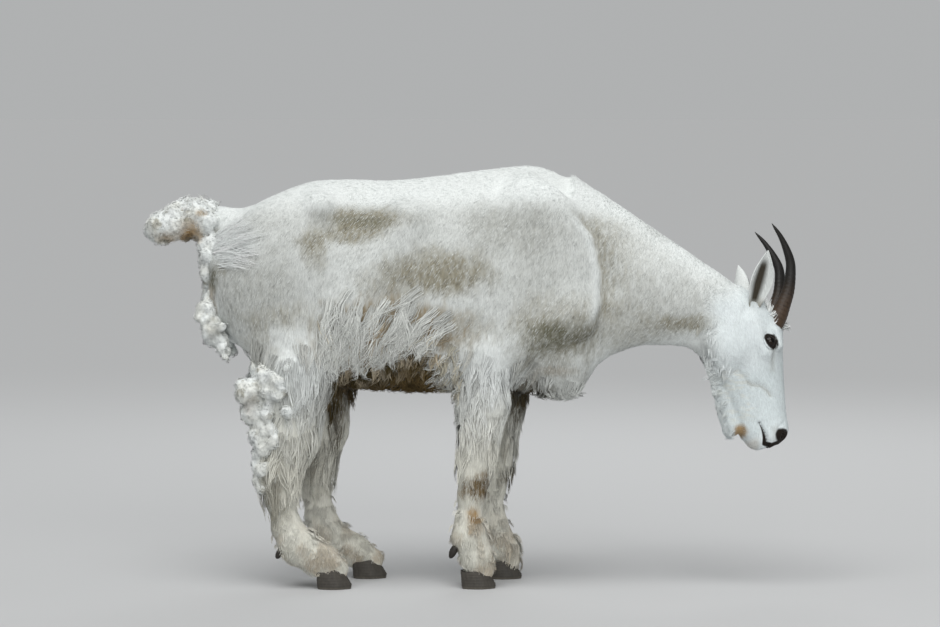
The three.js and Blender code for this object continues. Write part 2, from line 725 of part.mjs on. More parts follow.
// A tube of round rings along places, each with its own half widths across and over
function sweep(places, sides, size) {
  const curve = new THREE.CatmullRomCurve3(places);
  const count = size.length;
  const rings = [];
  for (let i = 0; i < count - 1; i++) {
    const [u, wide, high] = size[i];
    const centre = curve.getPointAt(u);
    const forward = curve.getTangentAt(u);
    const across = HEAD_W.clone().addScaledVector(forward, -HEAD_W.dot(forward)).normalize();
    const over = new THREE.Vector3().crossVectors(forward, across);
    rings.push(
      Array.from({ length: sides }, (_, k) => {
        const angle = (2 * Math.PI * k) / sides;
        return centre
          .clone()
          .addScaledVector(across, Math.cos(angle) * wide)
          .addScaledVector(over, Math.sin(angle) * high);
      }),
    );
  }
  return solid(ringsToGeometry(places[0], rings, curve.getPointAt(1)));
}

// Places along a horn in the head's frame (s, h, w), and how thick it is at its root
const HORN = [
  [82, 52, 23],
  [60, 75, 26],
  [36, 94.5, 28],
  [6, 116, 30],
  [-27, 130, 34],
  [-56, 137, 38],
  [-87, 134, 44],
  [-120, 125.5, 50],
  [-153, 111, 56],
];
const HORN_SIZE = [
  [0, 19, 21],
  [0.1, 19, 21],
  [0.3, 14.5, 16],
  [0.5, 11.5, 12.5],
  [0.7, 8.5, 9.5],
  [0.85, 5.5, 6],
  [0.94, 3.2, 3.6],
  [1, 1, 1],
];
const HORN_RINGS = { count: 7, from: 0.13, to: 0.47, step: 0.9 };

function horn(side, grow) {
  const places = HORN.map(([s, h, w]) => headPoint(s, h, w * side));
  const size = [];
  const add = (u, swell) => {
    const [a, b] = along(HORN_SIZE, u);
    size.push([u, a + swell + grow, b + swell + grow]);
  };
  add(0, 0);
  for (let i = 0; i < HORN_RINGS.count; i++) {
    const pitch = (HORN_RINGS.to - HORN_RINGS.from) / HORN_RINGS.count;
    const u = HORN_RINGS.from + pitch * i;
    add(u, HORN_RINGS.step);
    add(u + 0.75 * pitch, -HORN_RINGS.step * 0.6);
  }
  for (const u of [0.5, 0.6, 0.7, 0.79, 0.87, 0.94, 1]) add(u, 0);
  return sweep(places, 10, size);
}

// Ear: places along its back from the root to the tip, half widths, how deep the cup is and its thickness
const EAR_ROOT = [33, 12, 38];
const EAR_TIP = [-90, 66, 100];
// Which way each cup opens, in (s, w, h) for a side of -1: the right one sidewards and the left one forwards
const EAR_LOOK = { [RIGHT]: vec(0.2, -1, 0.15), [LEFT]: vec(0.2, -0.35, 1) };
const EAR_SECTIONS = [
  [0, 12, 10, 5],
  [0.14, 17, 12, 4.5],
  [0.3, 25, 14, 4],
  [0.48, 30, 15, 3.6],
  [0.66, 27, 12, 3.2],
  [0.82, 18, 8, 2.8],
  [0.93, 9, 4, 2.4],
];

// filled closes the cup, for cutting the ear's root out of the head
function ear(side, grow, filled = false) {
  const root = headPoint(EAR_ROOT[0], EAR_ROOT[1], EAR_ROOT[2] * side);
  const tip = headPoint(EAR_TIP[0], EAR_TIP[1], EAR_TIP[2] * side);
  const length = tip.distanceTo(root);
  const axis = tip.clone().sub(root).normalize();
  const opening = EAR_LOOK[side];
  const look = headPoint(opening.x, opening.z, -opening.y * side).sub(POLL);
  look.addScaledVector(axis, -look.dot(axis)).normalize();
  const edge = new THREE.Vector3().crossVectors(axis, look);
  const ARC = 5;
  const rings = EAR_SECTIONS.map(([t, half, depth, thick]) => {
    const middle = root.clone().addScaledVector(axis, t * length);
    const wall = thick;
    const point = (angle, inner) => {
      const h = half + grow - (inner && !filled ? wall * 0.9 : 0);
      const d = depth + grow - (inner ? wall : 0);
      const inwards = inner && filled ? depth * 0.24 + 2 * grow : -Math.cos(angle) * Math.max(d, 0.4);
      return middle
        .clone()
        .addScaledVector(edge, Math.sin(angle) * h)
        .addScaledVector(look, depth * 0.4 + inwards);
    };
    const ring = [];
    for (let i = 0; i <= ARC; i++) ring.push(point(Math.PI * (0.56 - (1.12 * i) / ARC), false));
    for (let i = 0; i <= ARC; i++) ring.push(point(Math.PI * (-0.5 + (1.0 * i) / ARC), true));
    return ring;
  });
  const start = root.clone().addScaledVector(axis, -4 - grow);
  return solid(ringsToGeometry(start, rings, tip.clone().addScaledVector(axis, grow)));
}

function eyeball(side, grow) {
  const centre = headPoint(EYE.s, EYE.h, (EYE.w - 3) * side);
  return solid(new THREE.SphereGeometry(EYE.r + grow, 12, 8).translate(centre.x, centre.y, centre.z));
}

// The rim of the eyelids, an almond-shaped tube round the eye
const LIDS = { long: 16.5, high: 12, tube: 3.6, out: 7.5 };
function lids(side) {
  const out = headPoint(-1, 3, 12 * side).sub(POLL).normalize();
  const longways = HEAD_S.clone().addScaledVector(HEAD_H, 0.45);
  longways.addScaledVector(out, -longways.dot(out)).normalize();
  const highways = new THREE.Vector3().crossVectors(out, longways);
  const centre = headPoint(EYE.s, EYE.h, (EYE.w - 3) * side).addScaledVector(out, LIDS.out);
  const [N, M] = [12, 5];
  const points = [];
  const faces = [];
  for (let i = 0; i < N; i++) {
    const angle = (2 * Math.PI * i) / N;
    const spoke = longways.clone().multiplyScalar(Math.cos(angle)).addScaledVector(highways, Math.sin(angle));
    const reach = mix(LIDS.high, LIDS.long, Math.abs(Math.cos(angle)) ** 1.5);
    const middle = centre.clone().addScaledVector(spoke, reach);
    middle.addScaledVector(out, -3 * Math.abs(Math.cos(angle)));
    for (let k = 0; k < M; k++) {
      const turn = (2 * Math.PI * k) / M;
      const point = middle.clone().addScaledVector(spoke, Math.cos(turn) * LIDS.tube);
      points.push(point.addScaledVector(out, Math.sin(turn) * LIDS.tube));
      const [a, b] = [i * M + k, i * M + ((k + 1) % M)];
      const [c, d] = [((i + 1) % N) * M + k, ((i + 1) % N) * M + ((k + 1) % M)];
      faces.push(a, c, b, b, c, d);
    }
  }
  return solid(new THREE.BufferGeometry().setFromPoints(points).setIndex(faces));
}

// The closed mouth's line, a groove round the muzzle that stops short of a plug inside it
const MOUTH = { corner: 284, end: 352, cornerHeight: -37, endHeight: -29, wide: 2.6 };
const headBasis = new THREE.Matrix4().makeBasis(HEAD_S, HEAD_W, HEAD_H).setPosition(POLL);
function mouthLine() {
  const long = MOUTH.end - MOUTH.corner;
  const slope = Math.atan2(MOUTH.endHeight - MOUTH.cornerHeight, long);
  const knife = new THREE.BoxGeometry(long, 100, MOUTH.wide).translate(long / 2, 0, 0).rotateY(-slope);
  knife.translate(MOUTH.corner, 0, MOUTH.cornerHeight).applyMatrix4(headBasis);
  const plug = new THREE.SphereGeometry(1, 18, 10).rotateX(Math.PI / 2).scale(74, 28, 60);
  plug.translate(262, 0, -30);
  return solid(knife).subtract(solid(plug.applyMatrix4(headBasis)));
}

const NOSTRIL = { s: 322, h: 15, w: 26 };
function nostril(side) {
  const slit = new THREE.SphereGeometry(1, 8, 6).scale(11, 8, 4.5).rotateX(-0.5 * side).rotateY(0.6);
  return solid(slit.translate(NOSTRIL.s, NOSTRIL.w * side, NOSTRIL.h).applyMatrix4(headBasis));
}

// One claw of a cloven hoof: outlines stacked from the sole to the coronet. The toe is forwards.
const CLAW = { long: 76, wide: 31, cleft: 2.5, high: 48, slope: 14 };
const CLAW_RINGS = [
  [0, 0, 1],
  [0.15, 0, 1.03],
  [1, -0.36, 0.72],
];
function claw(foot, outer, grow) {
  const N = 9;
  const ring = ([up, shift, scale]) =>
    Array.from({ length: N }, (_, k) => {
      const angle = (2 * Math.PI * k) / N;
      const x = Math.cos(angle);
      const taper = x > 0 ? 1 - 0.45 * x * x : 1;
      const across = Math.sin(angle) * taper * ((CLAW.wide / 2) * scale + grow);
      const middle = outer * (CLAW.wide / 2 + CLAW.cleft) + (x > 0 ? -outer * 6 * x * x * scale : 0);
      const slope = up > 0.9 ? (0.5 - x * 0.5) * CLAW.slope : 0;
      return vec(
        foot.x + x * ((CLAW.long / 2) * scale + grow) + shift * CLAW.long * 0.5,
        foot.y + middle + across,
        up * CLAW.high + (up === 0 ? -grow : 0) + (up === 1 ? grow : 0) - slope,
      );
    });
  const rings = CLAW_RINGS.map(ring);
  const bottom = rings[0].reduce((sum, p) => sum.add(p), vec(0, 0, 0)).divideScalar(N);
  const top = rings[2].reduce((sum, p) => sum.add(p), vec(0, 0, 0)).divideScalar(N);
  return solid(ringsToGeometry(bottom, rings, top));
}

const DEWCLAW = { back: 44, up: 84, out: 14, long: 17, wide: 8 };
function dewclaw(name, outer, grow) {
  const { joints, foot } = LEGS[name];
  const fetlock = joints[joints.length - 3].at;
  const ball = new THREE.SphereGeometry(1, 6, 4);
  ball.scale(DEWCLAW.wide + grow, DEWCLAW.wide + grow, DEWCLAW.long + grow).rotateY(0.5);
  ball.translate(fetlock.x - DEWCLAW.back + 8, foot.y + outer * DEWCLAW.out, DEWCLAW.up);
  return solid(ball);
}

// Assembly
const COATS = {
  white_coat: { color: 0xe6e4de, roughness: 0.95, metalness: 0 },
  horn: { color: 0x2a2320, roughness: 0.5, metalness: 0 },
  hoof: { color: 0x38342f, roughness: 0.6, metalness: 0 },
  eye: { color: 0x140e0a, roughness: 0.1, metalness: 0 },
};
const materials = Object.fromEntries(
  Object.entries(COATS).map(([name, look]) => [name, new THREE.MeshStandardMaterial({ name, ...look })]),
);

const group = new THREE.Group();
group.name = "mountain_goat";
function add(name, made, material) {
  const mesh = new THREE.Mesh(geometryOf(made), materials[material]);
  mesh.name = name;
  group.add(mesh);
}

add("torso", makeTorso(), "white_coat");

// Neck
const neckPath = [vec(250, 0, 690), vec(420, 0, 676), vec(570, 0, 640)];
const neckShape = (p) => join(goat(p), head(p), 30);
const neckSkin = castSkin(neckShape, neckPath, { rings: 9, sides: 22, fan: 3, reach: 250 });
const neckFront = keepPast(neckSkin, NECK_CUT.at, NECK_CUT.normal);
add("neck", largest(keepPast(neckFront, HEAD_CUT.at, HEAD_CUT.normal.clone().negate())), "white_coat");

// Head
const HEAD_PATH = [[10, -20], [100, -14], [200, -16], [306, -22]];
const headPath = HEAD_PATH.map(([s, h]) => headPoint(s, h, 0));
const headShape = (p) => join(head(p), neck(p), 30);
let skull = castSkin(headShape, headPath, { rings: 18, sides: 24, fan: 4, reach: 150 });
skull = keepPast(skull, HEAD_CUT.at, HEAD_CUT.normal);
const jawLocks = grownFrom(jawCoat(headShape), 0, headShape);
skull = unite([skull, lids(LEFT), lids(RIGHT), ...headTufts(), ...jawLocks]);
skull = skull.subtract(unite([mouthLine(), nostril(LEFT), nostril(RIGHT)]));
for (const [word, side] of Object.entries(SIDES)) {
  const cutters = [eyeball(side, SKIN_CLEAR), horn(side, SKIN_CLEAR), ear(side, SKIN_CLEAR, true)];
  skull = skull.subtract(unite(cutters));
  add(`eye_${word}`, eyeball(side, 0), "eye");
  add(`horn_${word}`, horn(side, 0), "horn");
  add(`ear_${word}`, ear(side, 0), "white_coat");
}
add("head", largest(skull), "white_coat");

const tail = unite([tailSkin.intersect(solid(tailRoom(0))), ...grownFrom(tailCoat(tailShape), 0, tailShape)]);
const tailFree = tail.intersect(solid(tailRoom(0))).subtract(unite(grownFrom(coats.trunk, GAP)));
add("tail", largest(tailFree), "white_coat");

// Legs
for (const name in LEGS) {
  const { split, foot, side } = LEGS[name];
  const fore = name.startsWith("foreleg");
  const at = vec(0, 0, split);
  const over = grownFrom(coats.trunk, GAP).concat(grownWool(TORSO_WOOL, GAP));
  const skin = skins[name].intersect(legRoom(name, 0));
  const high = coats[name].filter(({ root }) => root.z > split);
  const low = coats[name].filter(({ root }) => root.z <= split);
  let upper = unite([keepPast(skin, at, UP), ...grownFrom(high), ...(fore ? [] : grownWool(legWool(name)))]);
  upper = upper.intersect(halfSpace(legCut(name).at, legCut(name).normal)).subtract(unite(over));
  let lower = unite([keepPast(skin, at, DOWN), ...grownFrom(low)]);
  const claws = [];
  for (const outer of [-1, 1]) {
    claws.push(claw(foot, outer, SKIN_CLEAR), dewclaw(name, outer, SKIN_CLEAR));
    const word = outer * side > 0 ? "outer" : "inner";
    add(`hoof_${name}_${word}`, claw(foot, outer, 0), "hoof");
    add(`dewclaw_${name}_${word}`, dewclaw(name, outer, 0), "hoof");
  }
  const above = [...grownFrom(high, GAP), ...(fore ? [] : grownWool(legWool(name), GAP))];
  lower = keepPast(lower.subtract(unite([...claws, ...above])), vec(0, 0, 0), UP);
  add(`${name}_upper`, largest(upper), "white_coat");
  add(`${name}_lower`, largest(lower), "white_coat");
}

export default group;
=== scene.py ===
"""A mountain goat in its summer moult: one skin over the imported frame, its coat, horns, hooves and eyes."""
import math

import bpy
import numpy as np
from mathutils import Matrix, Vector


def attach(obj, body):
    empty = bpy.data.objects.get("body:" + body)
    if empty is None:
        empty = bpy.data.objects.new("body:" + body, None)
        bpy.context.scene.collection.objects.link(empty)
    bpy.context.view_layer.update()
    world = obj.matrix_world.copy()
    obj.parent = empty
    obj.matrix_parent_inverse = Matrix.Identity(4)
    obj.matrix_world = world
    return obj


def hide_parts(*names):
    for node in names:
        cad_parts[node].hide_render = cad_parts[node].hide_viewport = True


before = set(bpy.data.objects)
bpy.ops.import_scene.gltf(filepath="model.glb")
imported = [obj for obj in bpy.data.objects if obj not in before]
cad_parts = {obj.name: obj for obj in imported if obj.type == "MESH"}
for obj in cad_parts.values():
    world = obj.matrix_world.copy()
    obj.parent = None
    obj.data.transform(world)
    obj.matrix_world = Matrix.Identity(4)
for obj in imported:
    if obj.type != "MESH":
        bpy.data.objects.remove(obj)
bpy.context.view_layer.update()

# Everything below is worked out in millimetres in the frame's own axes. Meshes are made in metres.
MM = 0.001
LEFT = 1
RIGHT = -1
SIDE_NAMES = {LEFT: "left", RIGHT: "right"}


# Small helpers for arrays of points

def vec(*v):
    return np.array(v, float)


def unit(v):
    return v / np.maximum(np.linalg.norm(v, axis=-1, keepdims=True), 1e-9)


def dot(a, b):
    return np.sum(a * b, axis=-1)


def mix(a, b, t):
    return a + (b - a) * t


def smooth(low, high, x):
    """0 below low, 1 above high, and a soft step between; low may be the larger one."""
    t = np.clip((x - low) / (high - low), 0, 1)
    return t * t * (3 - 2 * t)


# Factors that scatter the numbers of a grid's cells, and the eight corners of a cell
HASH = (374761393, 668265263, 1442695041, 974711)
HASH_MORE = 1274126177
CORNERS = [(a, b, c) for a in (0, 1) for b in (0, 1) for c in (0, 1)]


def hashed(i, j, k, seed):
    """A random value from 0 to 1 for each cell."""
    h = (i * HASH[0] + j * HASH[1] + k * HASH[2] + seed * HASH[3]) & 0xFFFFFFFF
    h = ((h ^ (h >> 13)) * HASH_MORE) & 0xFFFFFFFF
    return ((h ^ (h >> 16)) & 0xFFFF) / 65535.0


def noise(p, size, seed=0):
    """Smooth random values from 0 to 1 with lumps of about that size."""
    q = p / size
    cell = np.floor(q).astype(np.int64)
    f = q - cell
    f = f * f * (3 - 2 * f)
    total = 0
    for corner in CORNERS:
        x, y, z = (f[..., k] if corner[k] else 1 - f[..., k] for k in range(3))
        total = total + x * y * z * hashed(*(cell[..., k] + corner[k] for k in range(3)), seed)
    return total


# The body's form: the same smooth distances that the solids are cast on

def join(a, b, k):
    """The union of two distances, with a fillet about k wide."""
    h = np.maximum(k - np.abs(a - b), 0) / k
    return np.minimum(a, b) - h * h * k / 4


def carve(a, b, k):
    """The first form with the second cut out of it."""
    return -join(-a, b, k)


def along(table, at):
    """Sizes at places along an axis, on a smooth curve through the table's rows."""
    table = np.asarray(table, float)
    places = table[:, 0]
    last = len(table) - 1
    at = np.clip(at, places[0], places[-1])
    i = np.clip(np.searchsorted(places, at, side="right") - 1, 0, last - 1)
    before = np.maximum(np.arange(last + 1) - 1, 0)
    after = np.minimum(np.arange(last + 1) + 1, last)
    slope = (table[after, 1:] - table[before, 1:]) / (places[after] - places[before])[:, None]
    step = (places[i + 1] - places[i])[:, None]
    t = ((at - places[i]) / step[:, 0])[:, None]
    t2, t3 = t * t, t * t * t
    return (
        (2 * t3 - 3 * t2 + 1) * table[i, 1:]
        + (t3 - 2 * t2 + t) * slope[i] * step
        + (3 * t2 - 2 * t3) * table[i + 1, 1:]
        + (t3 - t2) * slope[i + 1] * step
    )


def limb(p, a, b, ra, rb, flat=1.0):
    """A rod with round ends, its radius from ra to rb. A flat below 1 makes it narrower from the front."""
    a, b = vec(*a), vec(*b)
    ab = b - a
    ap = p - a
    t = np.clip(ap @ ab / (ab @ ab), 0, 1)
    rest = ap - t[:, None] * ab
    return np.sqrt(rest[:, 0] ** 2 + (rest[:, 1] / flat) ** 2 + rest[:, 2] ** 2) - mix(ra, rb, t)


def blob(p, centre, r, pitch=0.0):
    """An ellipsoid, turned by pitch about the axis from side to side."""
    d = p - vec(*centre)
    c, s = math.cos(pitch), math.sin(pitch)
    q = np.stack([d[:, 0] * c - d[:, 2] * s, d[:, 1], d[:, 0] * s + d[:, 2] * c], 1)
    r = vec(*r)
    k0 = np.linalg.norm(q / r, axis=1)
    k1 = np.linalg.norm(q / (r * r), axis=1)
    return np.where(k1 > 1e-9, k0 * (k0 - 1) / np.maximum(k1, 1e-9), -r.min())


def sections(at, side, height, table):
    """A body of cross sections: place, top, bottom, half width, height of the widest place, and the exponents
    above and below it."""
    first, last = table[0][0], table[-1][0]
    top, bottom, half, widest, above, below = along(table, at).T
    h = height - widest
    reach = np.where(h > 0, top - widest, widest - bottom)
    n = np.where(h > 0, above, below)
    norm = (np.abs(side / half) ** n + np.abs(h / reach) ** n) ** (1 / n)
    radial = np.hypot(side, h)
    d = np.where(norm > 1e-6, radial - radial / np.maximum(norm, 1e-6), -np.minimum(half, reach))
    past = np.maximum(np.maximum(first - at, at - last), 0)
    return np.where(past > 0, np.hypot(np.maximum(d, 0), past) + np.minimum(d, 0) * 0.2, d)


TRUNK = [
    [-600, 786, 610, 44, 700, 2.0, 2.0],
    [-570, 830, 570, 84, 705, 2.0, 2.0],
    [-510, 868, 540, 110, 712, 2.0, 2.0],
    [-430, 908, 515, 126, 716, 2.1, 2.0],
    [-360, 931, 478, 130, 705, 2.1, 2.1],
    [-280, 936, 460, 136, 680, 2.0, 2.2],
    [-180, 934, 452, 150, 662, 2.0, 2.2],
    [-60, 946, 450, 158, 655, 1.9, 2.2],
    [60, 961, 452, 148, 660, 1.85, 2.1],
    [150, 966, 446, 128, 665, 1.8, 2.0],
    [230, 934, 462, 108, 660, 1.8, 1.9],
    [290, 880, 530, 76, 690, 1.9, 1.9],
]
NECK_ROOT = vec(207, 0, 690)
NECK_ALONG = unit(vec(0.989, 0, -0.146))
NECK_UP = unit(vec(0.146, 0, 0.989))
NECK = [
    [0, 250, -248, 106, 20, 2.1, 1.9],
    [60, 226, -222, 98, 20, 2.1, 1.9],
    [120, 200, -164, 86, 20, 2.1, 1.9],
    [190, 166, -121, 75, 18, 2.1, 2.0],
    [260, 133, -105, 68, 12, 2.1, 2.0],
    [320, 103, -103, 64, 4, 2.1, 2.0],
    [372, 78, -98, 60, -6, 2.0, 2.0],
    [410, 52, -84, 54, -14, 2.0, 2.0],
]
BLADE_TOP = (128, 46, 905)
SHOULDER_POINT = (226, 92, 628)
ELBOW_POINT = (18, 96, 545)


def mirrored(p):
    return np.stack([p[:, 0], np.abs(p[:, 1]), p[:, 2]], 1)


def trunk(p):
    side = mirrored(p)
    d = sections(p[:, 0], p[:, 1], p[:, 2], TRUNK)
    d = join(d, blob(side, (-440, 62, 700), (122, 78, 185), 0.1), 50)
    d = join(d, blob(side, (-345, 84, 874), (34, 30, 30)), 40)
    d = join(d, blob(side, (-572, 48, 742), (26, 28, 40)), 30)
    d = carve(d, blob(side, (-262, 172, 852), (88, 44, 50), -0.2), 50)
    return join(d, limb(side, (-140, 106, 850), (-262, 112, 640), 28, 28), 70)


def neck(p):
    v = p - NECK_ROOT
    return sections(v @ NECK_ALONG, p[:, 1], v @ NECK_UP, NECK)


def shoulder(p):
    side = mirrored(p)
    d = limb(side, BLADE_TOP, SHOULDER_POINT, 46, 62, 0.72)
    d = join(d, blob(side, (168, 78, 770), (112, 46, 175), -0.3), 24)
    d = join(d, limb(side, SHOULDER_POINT, ELBOW_POINT, 60, 60, 0.75), 40)
    return join(d, blob(side, (66, 92, 640), (96, 38, 118), 0.2), 40)


def body(p):
    side = mirrored(p)
    d = join(trunk(p), neck(p), 46)
    d = join(d, shoulder(p), 26)
    d = join(d, blob(side, (226, 30, 520), (58, 62, 84)), 40)
    return carve(d, limb(side, (262, 128, 850), (318, 118, 690), 18, 24), 36)


# Joints of each leg as (x, y, z, half thickness), and how narrow it is from the front
LEGS = {
    "foreleg_right": dict(side=RIGHT, flat=0.84, foot=(20, -84), joints=[
        (18, -86, 545, 64), (30, -92, 425, 57), (16, -90, 305, 42), (11, -88, 262, 40),
        (4, -86, 215, 33), (-2, -84, 150, 34), (-2, -84, 118, 42), (16, -84, 72, 38), (26, -84, 42, 32)]),
    "foreleg_left": dict(side=LEFT, flat=0.84, foot=(82, 84), joints=[
        (48, 86, 545, 64), (74, 92, 425, 56), (62, 90, 308, 42), (60, 88, 266, 40),
        (53, 86, 215, 33), (48, 84, 150, 34), (50, 84, 118, 42), (76, 84, 72, 38), (88, 84, 42, 32)]),
    "hindleg_right": dict(side=RIGHT, flat=0.8, foot=(-310, -92), joints=[
        (-405, -72, 590, 80), (-396, -92, 480, 84), (-410, -96, 350, 62), (-436, -96, 268, 46),
        (-436, -94, 215, 38), (-418, -92, 140, 36), (-398, -92, 104, 44), (-338, -92, 64, 40),
        (-308, -92, 42, 32)]),
    "hindleg_left": dict(side=LEFT, flat=0.8, foot=(-234, 92), joints=[
        (-385, 72, 590, 80), (-350, 92, 480, 84), (-344, 96, 350, 62), (-362, 96, 268, 46),
        (-362, 94, 215, 38), (-350, 92, 145, 36), (-336, 92, 108, 43), (-272, 92, 64, 39),
        (-232, 92, 42, 32)]),
}


def leg(p, spec):
    joints = spec["joints"]
    d = None
    for a, b in zip(joints, joints[1:]):
        piece = limb(p, a[:3], b[:3], a[3], b[3], spec["flat"])
        d = piece if d is None else join(d, piece, 18)
    return d


def tail(p):
    root = limb(p, (-500, 0, 822), (-625, 0, 842), 42, 40)
    return join(root, limb(p, (-625, 0, 842), (-718, 0, 814), 38, 31), 20)


# The head's own frame: s from the poll to the lips, w to the animal's left and h towards the forehead
POLL = vec(616, 0, 651)
HEAD_S = unit(vec(0.258, -0.142, -0.955))
HEAD_H = unit(np.cross(HEAD_S, vec(-0.27, 0.94, -0.21)))
HEAD_W = np.cross(HEAD_H, HEAD_S)
HEAD_AXES = np.stack([HEAD_S, HEAD_W, HEAD_H])


def head_point(s, h, w):
    return POLL + s * HEAD_S + h * HEAD_H + w * HEAD_W


def in_head(p):
    """Places as (s, w, h)."""
    return (p - POLL) @ HEAD_AXES.T


def on_face(p):
    """Places as (s, w, h), with both sides of the face on one."""
    return mirrored(in_head(p))


HEAD = [
    [-28, 22, -62, 36, -18, 2.0, 2.0],
    [0, 50, -92, 50, -10, 2.0, 2.0],
    [36, 72, -108, 56, 0, 2.1, 1.8],
    [76, 88, -113, 57, 6, 2.2, 1.7],
    [110, 82, -112, 54, 12, 2.2, 1.6],
    [138, 74, -116, 49, 12, 2.1, 1.5],
    [170, 67, -116, 43, 8, 2.0, 1.5],
    [210, 58, -110, 38, 4, 1.9, 1.6],
    [250, 49, -97, 35, -2, 1.9, 1.7],
    [285, 42, -82, 33, -6, 1.9, 1.9],
    [312, 38, -70, 32, -10, 2.0, 2.0],
    [330, 26, -62, 26, -14, 2.0, 2.0],
    [341, 6, -50, 16, -22, 2.0, 2.0],
]
EYE = dict(s=111, h=29.5, w=51.5, r=16)
EYE_CENTRE = vec(EYE["s"], EYE["w"] - 3, EYE["h"])
LID_OUT = unit(vec(-1, 12, 3))
LID_LONG = unit(vec(1, 0, 0.45) - LID_OUT * dot(LID_OUT, vec(1, 0, 0.45)))
LID_HIGH = np.cross(LID_OUT, LID_LONG)
LIDS = dict(long=16.0, high=12.0, tube=3.0, out=7.0)
MOUTH = dict(corner=284, end=352, corner_height=-37, end_height=-29, half=1.1)
NOSTRIL = (323, 25, 13)
LIP_LINE = [(283, -38), (300, -36.5), (318, -35.5), (331, -37), (340, -20), (338, -2)]
NOSE = dict(s=321, w=12, h=6, long=20, across=31, high=22)
# The short fold of the cheek, in (s, h), along which shade is painted
CREASE = [(184, -42), (196, -33), (204, -14), (216, -2), (231, 5)]


def nose_reach(s, w, h):
    """1 on the edge of the bare black nose, less inside."""
    across, up = (w - NOSE["w"]) / NOSE["across"], (h - NOSE["h"]) / NOSE["high"]
    return np.linalg.norm(np.stack([(s - NOSE["s"]) / NOSE["long"], across, up], 1), axis=1)


def path_distance(a, b, points):
    """Distance in a plane from (a, b) to a line through points."""
    best = np.full(a.shape, 1e9)
    for (a0, b0), (a1, b1) in zip(points, points[1:]):
        da, db = a1 - a0, b1 - b0
        t = np.clip(((a - a0) * da + (b - b0) * db) / (da * da + db * db), 0, 1)
        best = np.minimum(best, np.hypot(a - a0 - t * da, b - b0 - t * db))
    return best


# Folds of the face as lines in (s, h), with how deep and how wide each is
FACE_FOLDS = [
    ([(151, -112), (159, -54), (191, -39), (207, -9), (230, 4)], 2.6, 7.0),
    ([(128, 34), (150, 30), (176, 24)], 1.3, 5.0),
    ([(262, -34), (284, -37)], 1.2, 5.0),
    ([(296, 22), (304, 4), (318, -6)], 1.6, 4.0),
    ([(92, 60), (110, 58), (130, 50)], 0.8, 3.5),
]


def head(p, fine=False):
    q = in_head(p)
    m = mirrored(q)
    d = sections(q[:, 0], q[:, 1], q[:, 2], HEAD)
    d = join(d, limb(m, (96, 44, 52), (124, 50, 48), 17, 13), 14)
    d = join(d, limb(m, (132, 44, 18), (60, 46, 2), 14, 16), 22)
    d = join(d, blob(m, (86, 34, -52), (54, 24, 48)), 24)
    d = join(d, limb(m, (78, 28, -94), (300, 13, -58), 22, 15), 26)
    d = join(d, limb(m, (196, 5, -99), (282, 4, -97), 17, 17), 14)
    d = join(d, blob(m, (312, 15, 2), (24, 17, 24)), 14)
    d = join(d, blob(m, (322, 0, -48), (17, 20, 19)), 14)
    d = carve(d, blob(m, (EYE["s"], EYE["w"] + 14, EYE["h"]), (20, 10, 16)), 8)
    if not fine:
        return d
    # Folds, lips, nostrils and lids
    s, w, h = m.T
    for points, deep, wide in FACE_FOLDS:
        d = d + deep * np.exp(-((path_distance(s, h, points) / wide) ** 2)) * smooth(8, 20, w)
    t = np.clip((s - MOUTH["corner"]) / (MOUTH["end"] - MOUTH["corner"]), 0, 1)
    line = mix(MOUTH["corner_height"], MOUTH["end_height"], t) + 3.5 * np.sin(np.pi * t)
    gape = np.maximum(np.abs(h - line) - MOUTH["half"], MOUTH["corner"] - s)
    d = carve(d, np.maximum(gape, -7 - d), 5)
    d = carve(d, blob(m, NOSTRIL, (10.5, 9, 3.6), 0.65), 4)
    e = m - EYE_CENTRE
    x, y, z = e @ LID_LONG, e @ LID_HIGH, e @ LID_OUT
    angle = np.arctan2(y, x)
    reach = mix(LIDS["high"], LIDS["long"], np.abs(np.cos(angle)) ** 1.5)
    ring = np.hypot(np.hypot(x, y) - reach, z - LIDS["out"] + 3 * np.abs(np.cos(angle))) - LIDS["tube"]
    d = join(d, ring, 5)
    return carve(d, np.linalg.norm(e, axis=1) - EYE["r"] - 0.3, 1.2)


# The tail stands behind the first x, and the head in front of the second
TAIL_FRONT = -420
HEAD_BACK = 470


def goat(p):
    """Signed distance to the smooth form of body, legs and tail."""
    d = body(p)
    for spec in LEGS.values():
        near = (p[:, 1] * spec["side"] > -30) & (p[:, 2] < 760)
        if near.any():
            d[near] = join(d[near], leg(p[near], spec), 44)
    back = p[:, 0] < TAIL_FRONT
    if back.any():
        d[back] = join(d[back], tail(p[back]), 24)
    return d


def whole(p, fine=False):
    """The same with the head, but without its ears. fine adds the face's small features."""
    d = goat(p)
    front = p[:, 0] > HEAD_BACK
    if front.any():
        d[front] = join(d[front], head(p[front], fine), 30)
    return d


def gradient(p, shape, step=2.0):
    """Outward directions, as long as the distance grows fast along them."""
    return np.stack([shape(p + o) - shape(p - o) for o in np.eye(3) * step], 1) / (2 * step)


# Coat: where it is long, how deep the nap is and which way it lies

def ball(p, centre, radii, edge):
    """1 inside an ellipsoid, falling softly to 0 past its surface. centre's y counts on both sides."""
    q = (mirrored(p) - vec(*centre)) / vec(*radii)
    return 1 - smooth(1 - edge, 1 + edge, np.linalg.norm(q, axis=1))


def band(x, a, b, soft):
    """1 between a and b, with soft edges."""
    return smooth(a - soft, a + soft, x) * (1 - smooth(b - soft, b + soft, x))


# The shoulder's front edge as heights and places: a painted highlight just behind it, and thin grey-brown
# hair with painted shade of its groove before it
CREST_HEIGHTS = [600, 649, 726, 805, 859, 880]
CREST_PLACES = [276, 295, 295, 277, 234, 205]


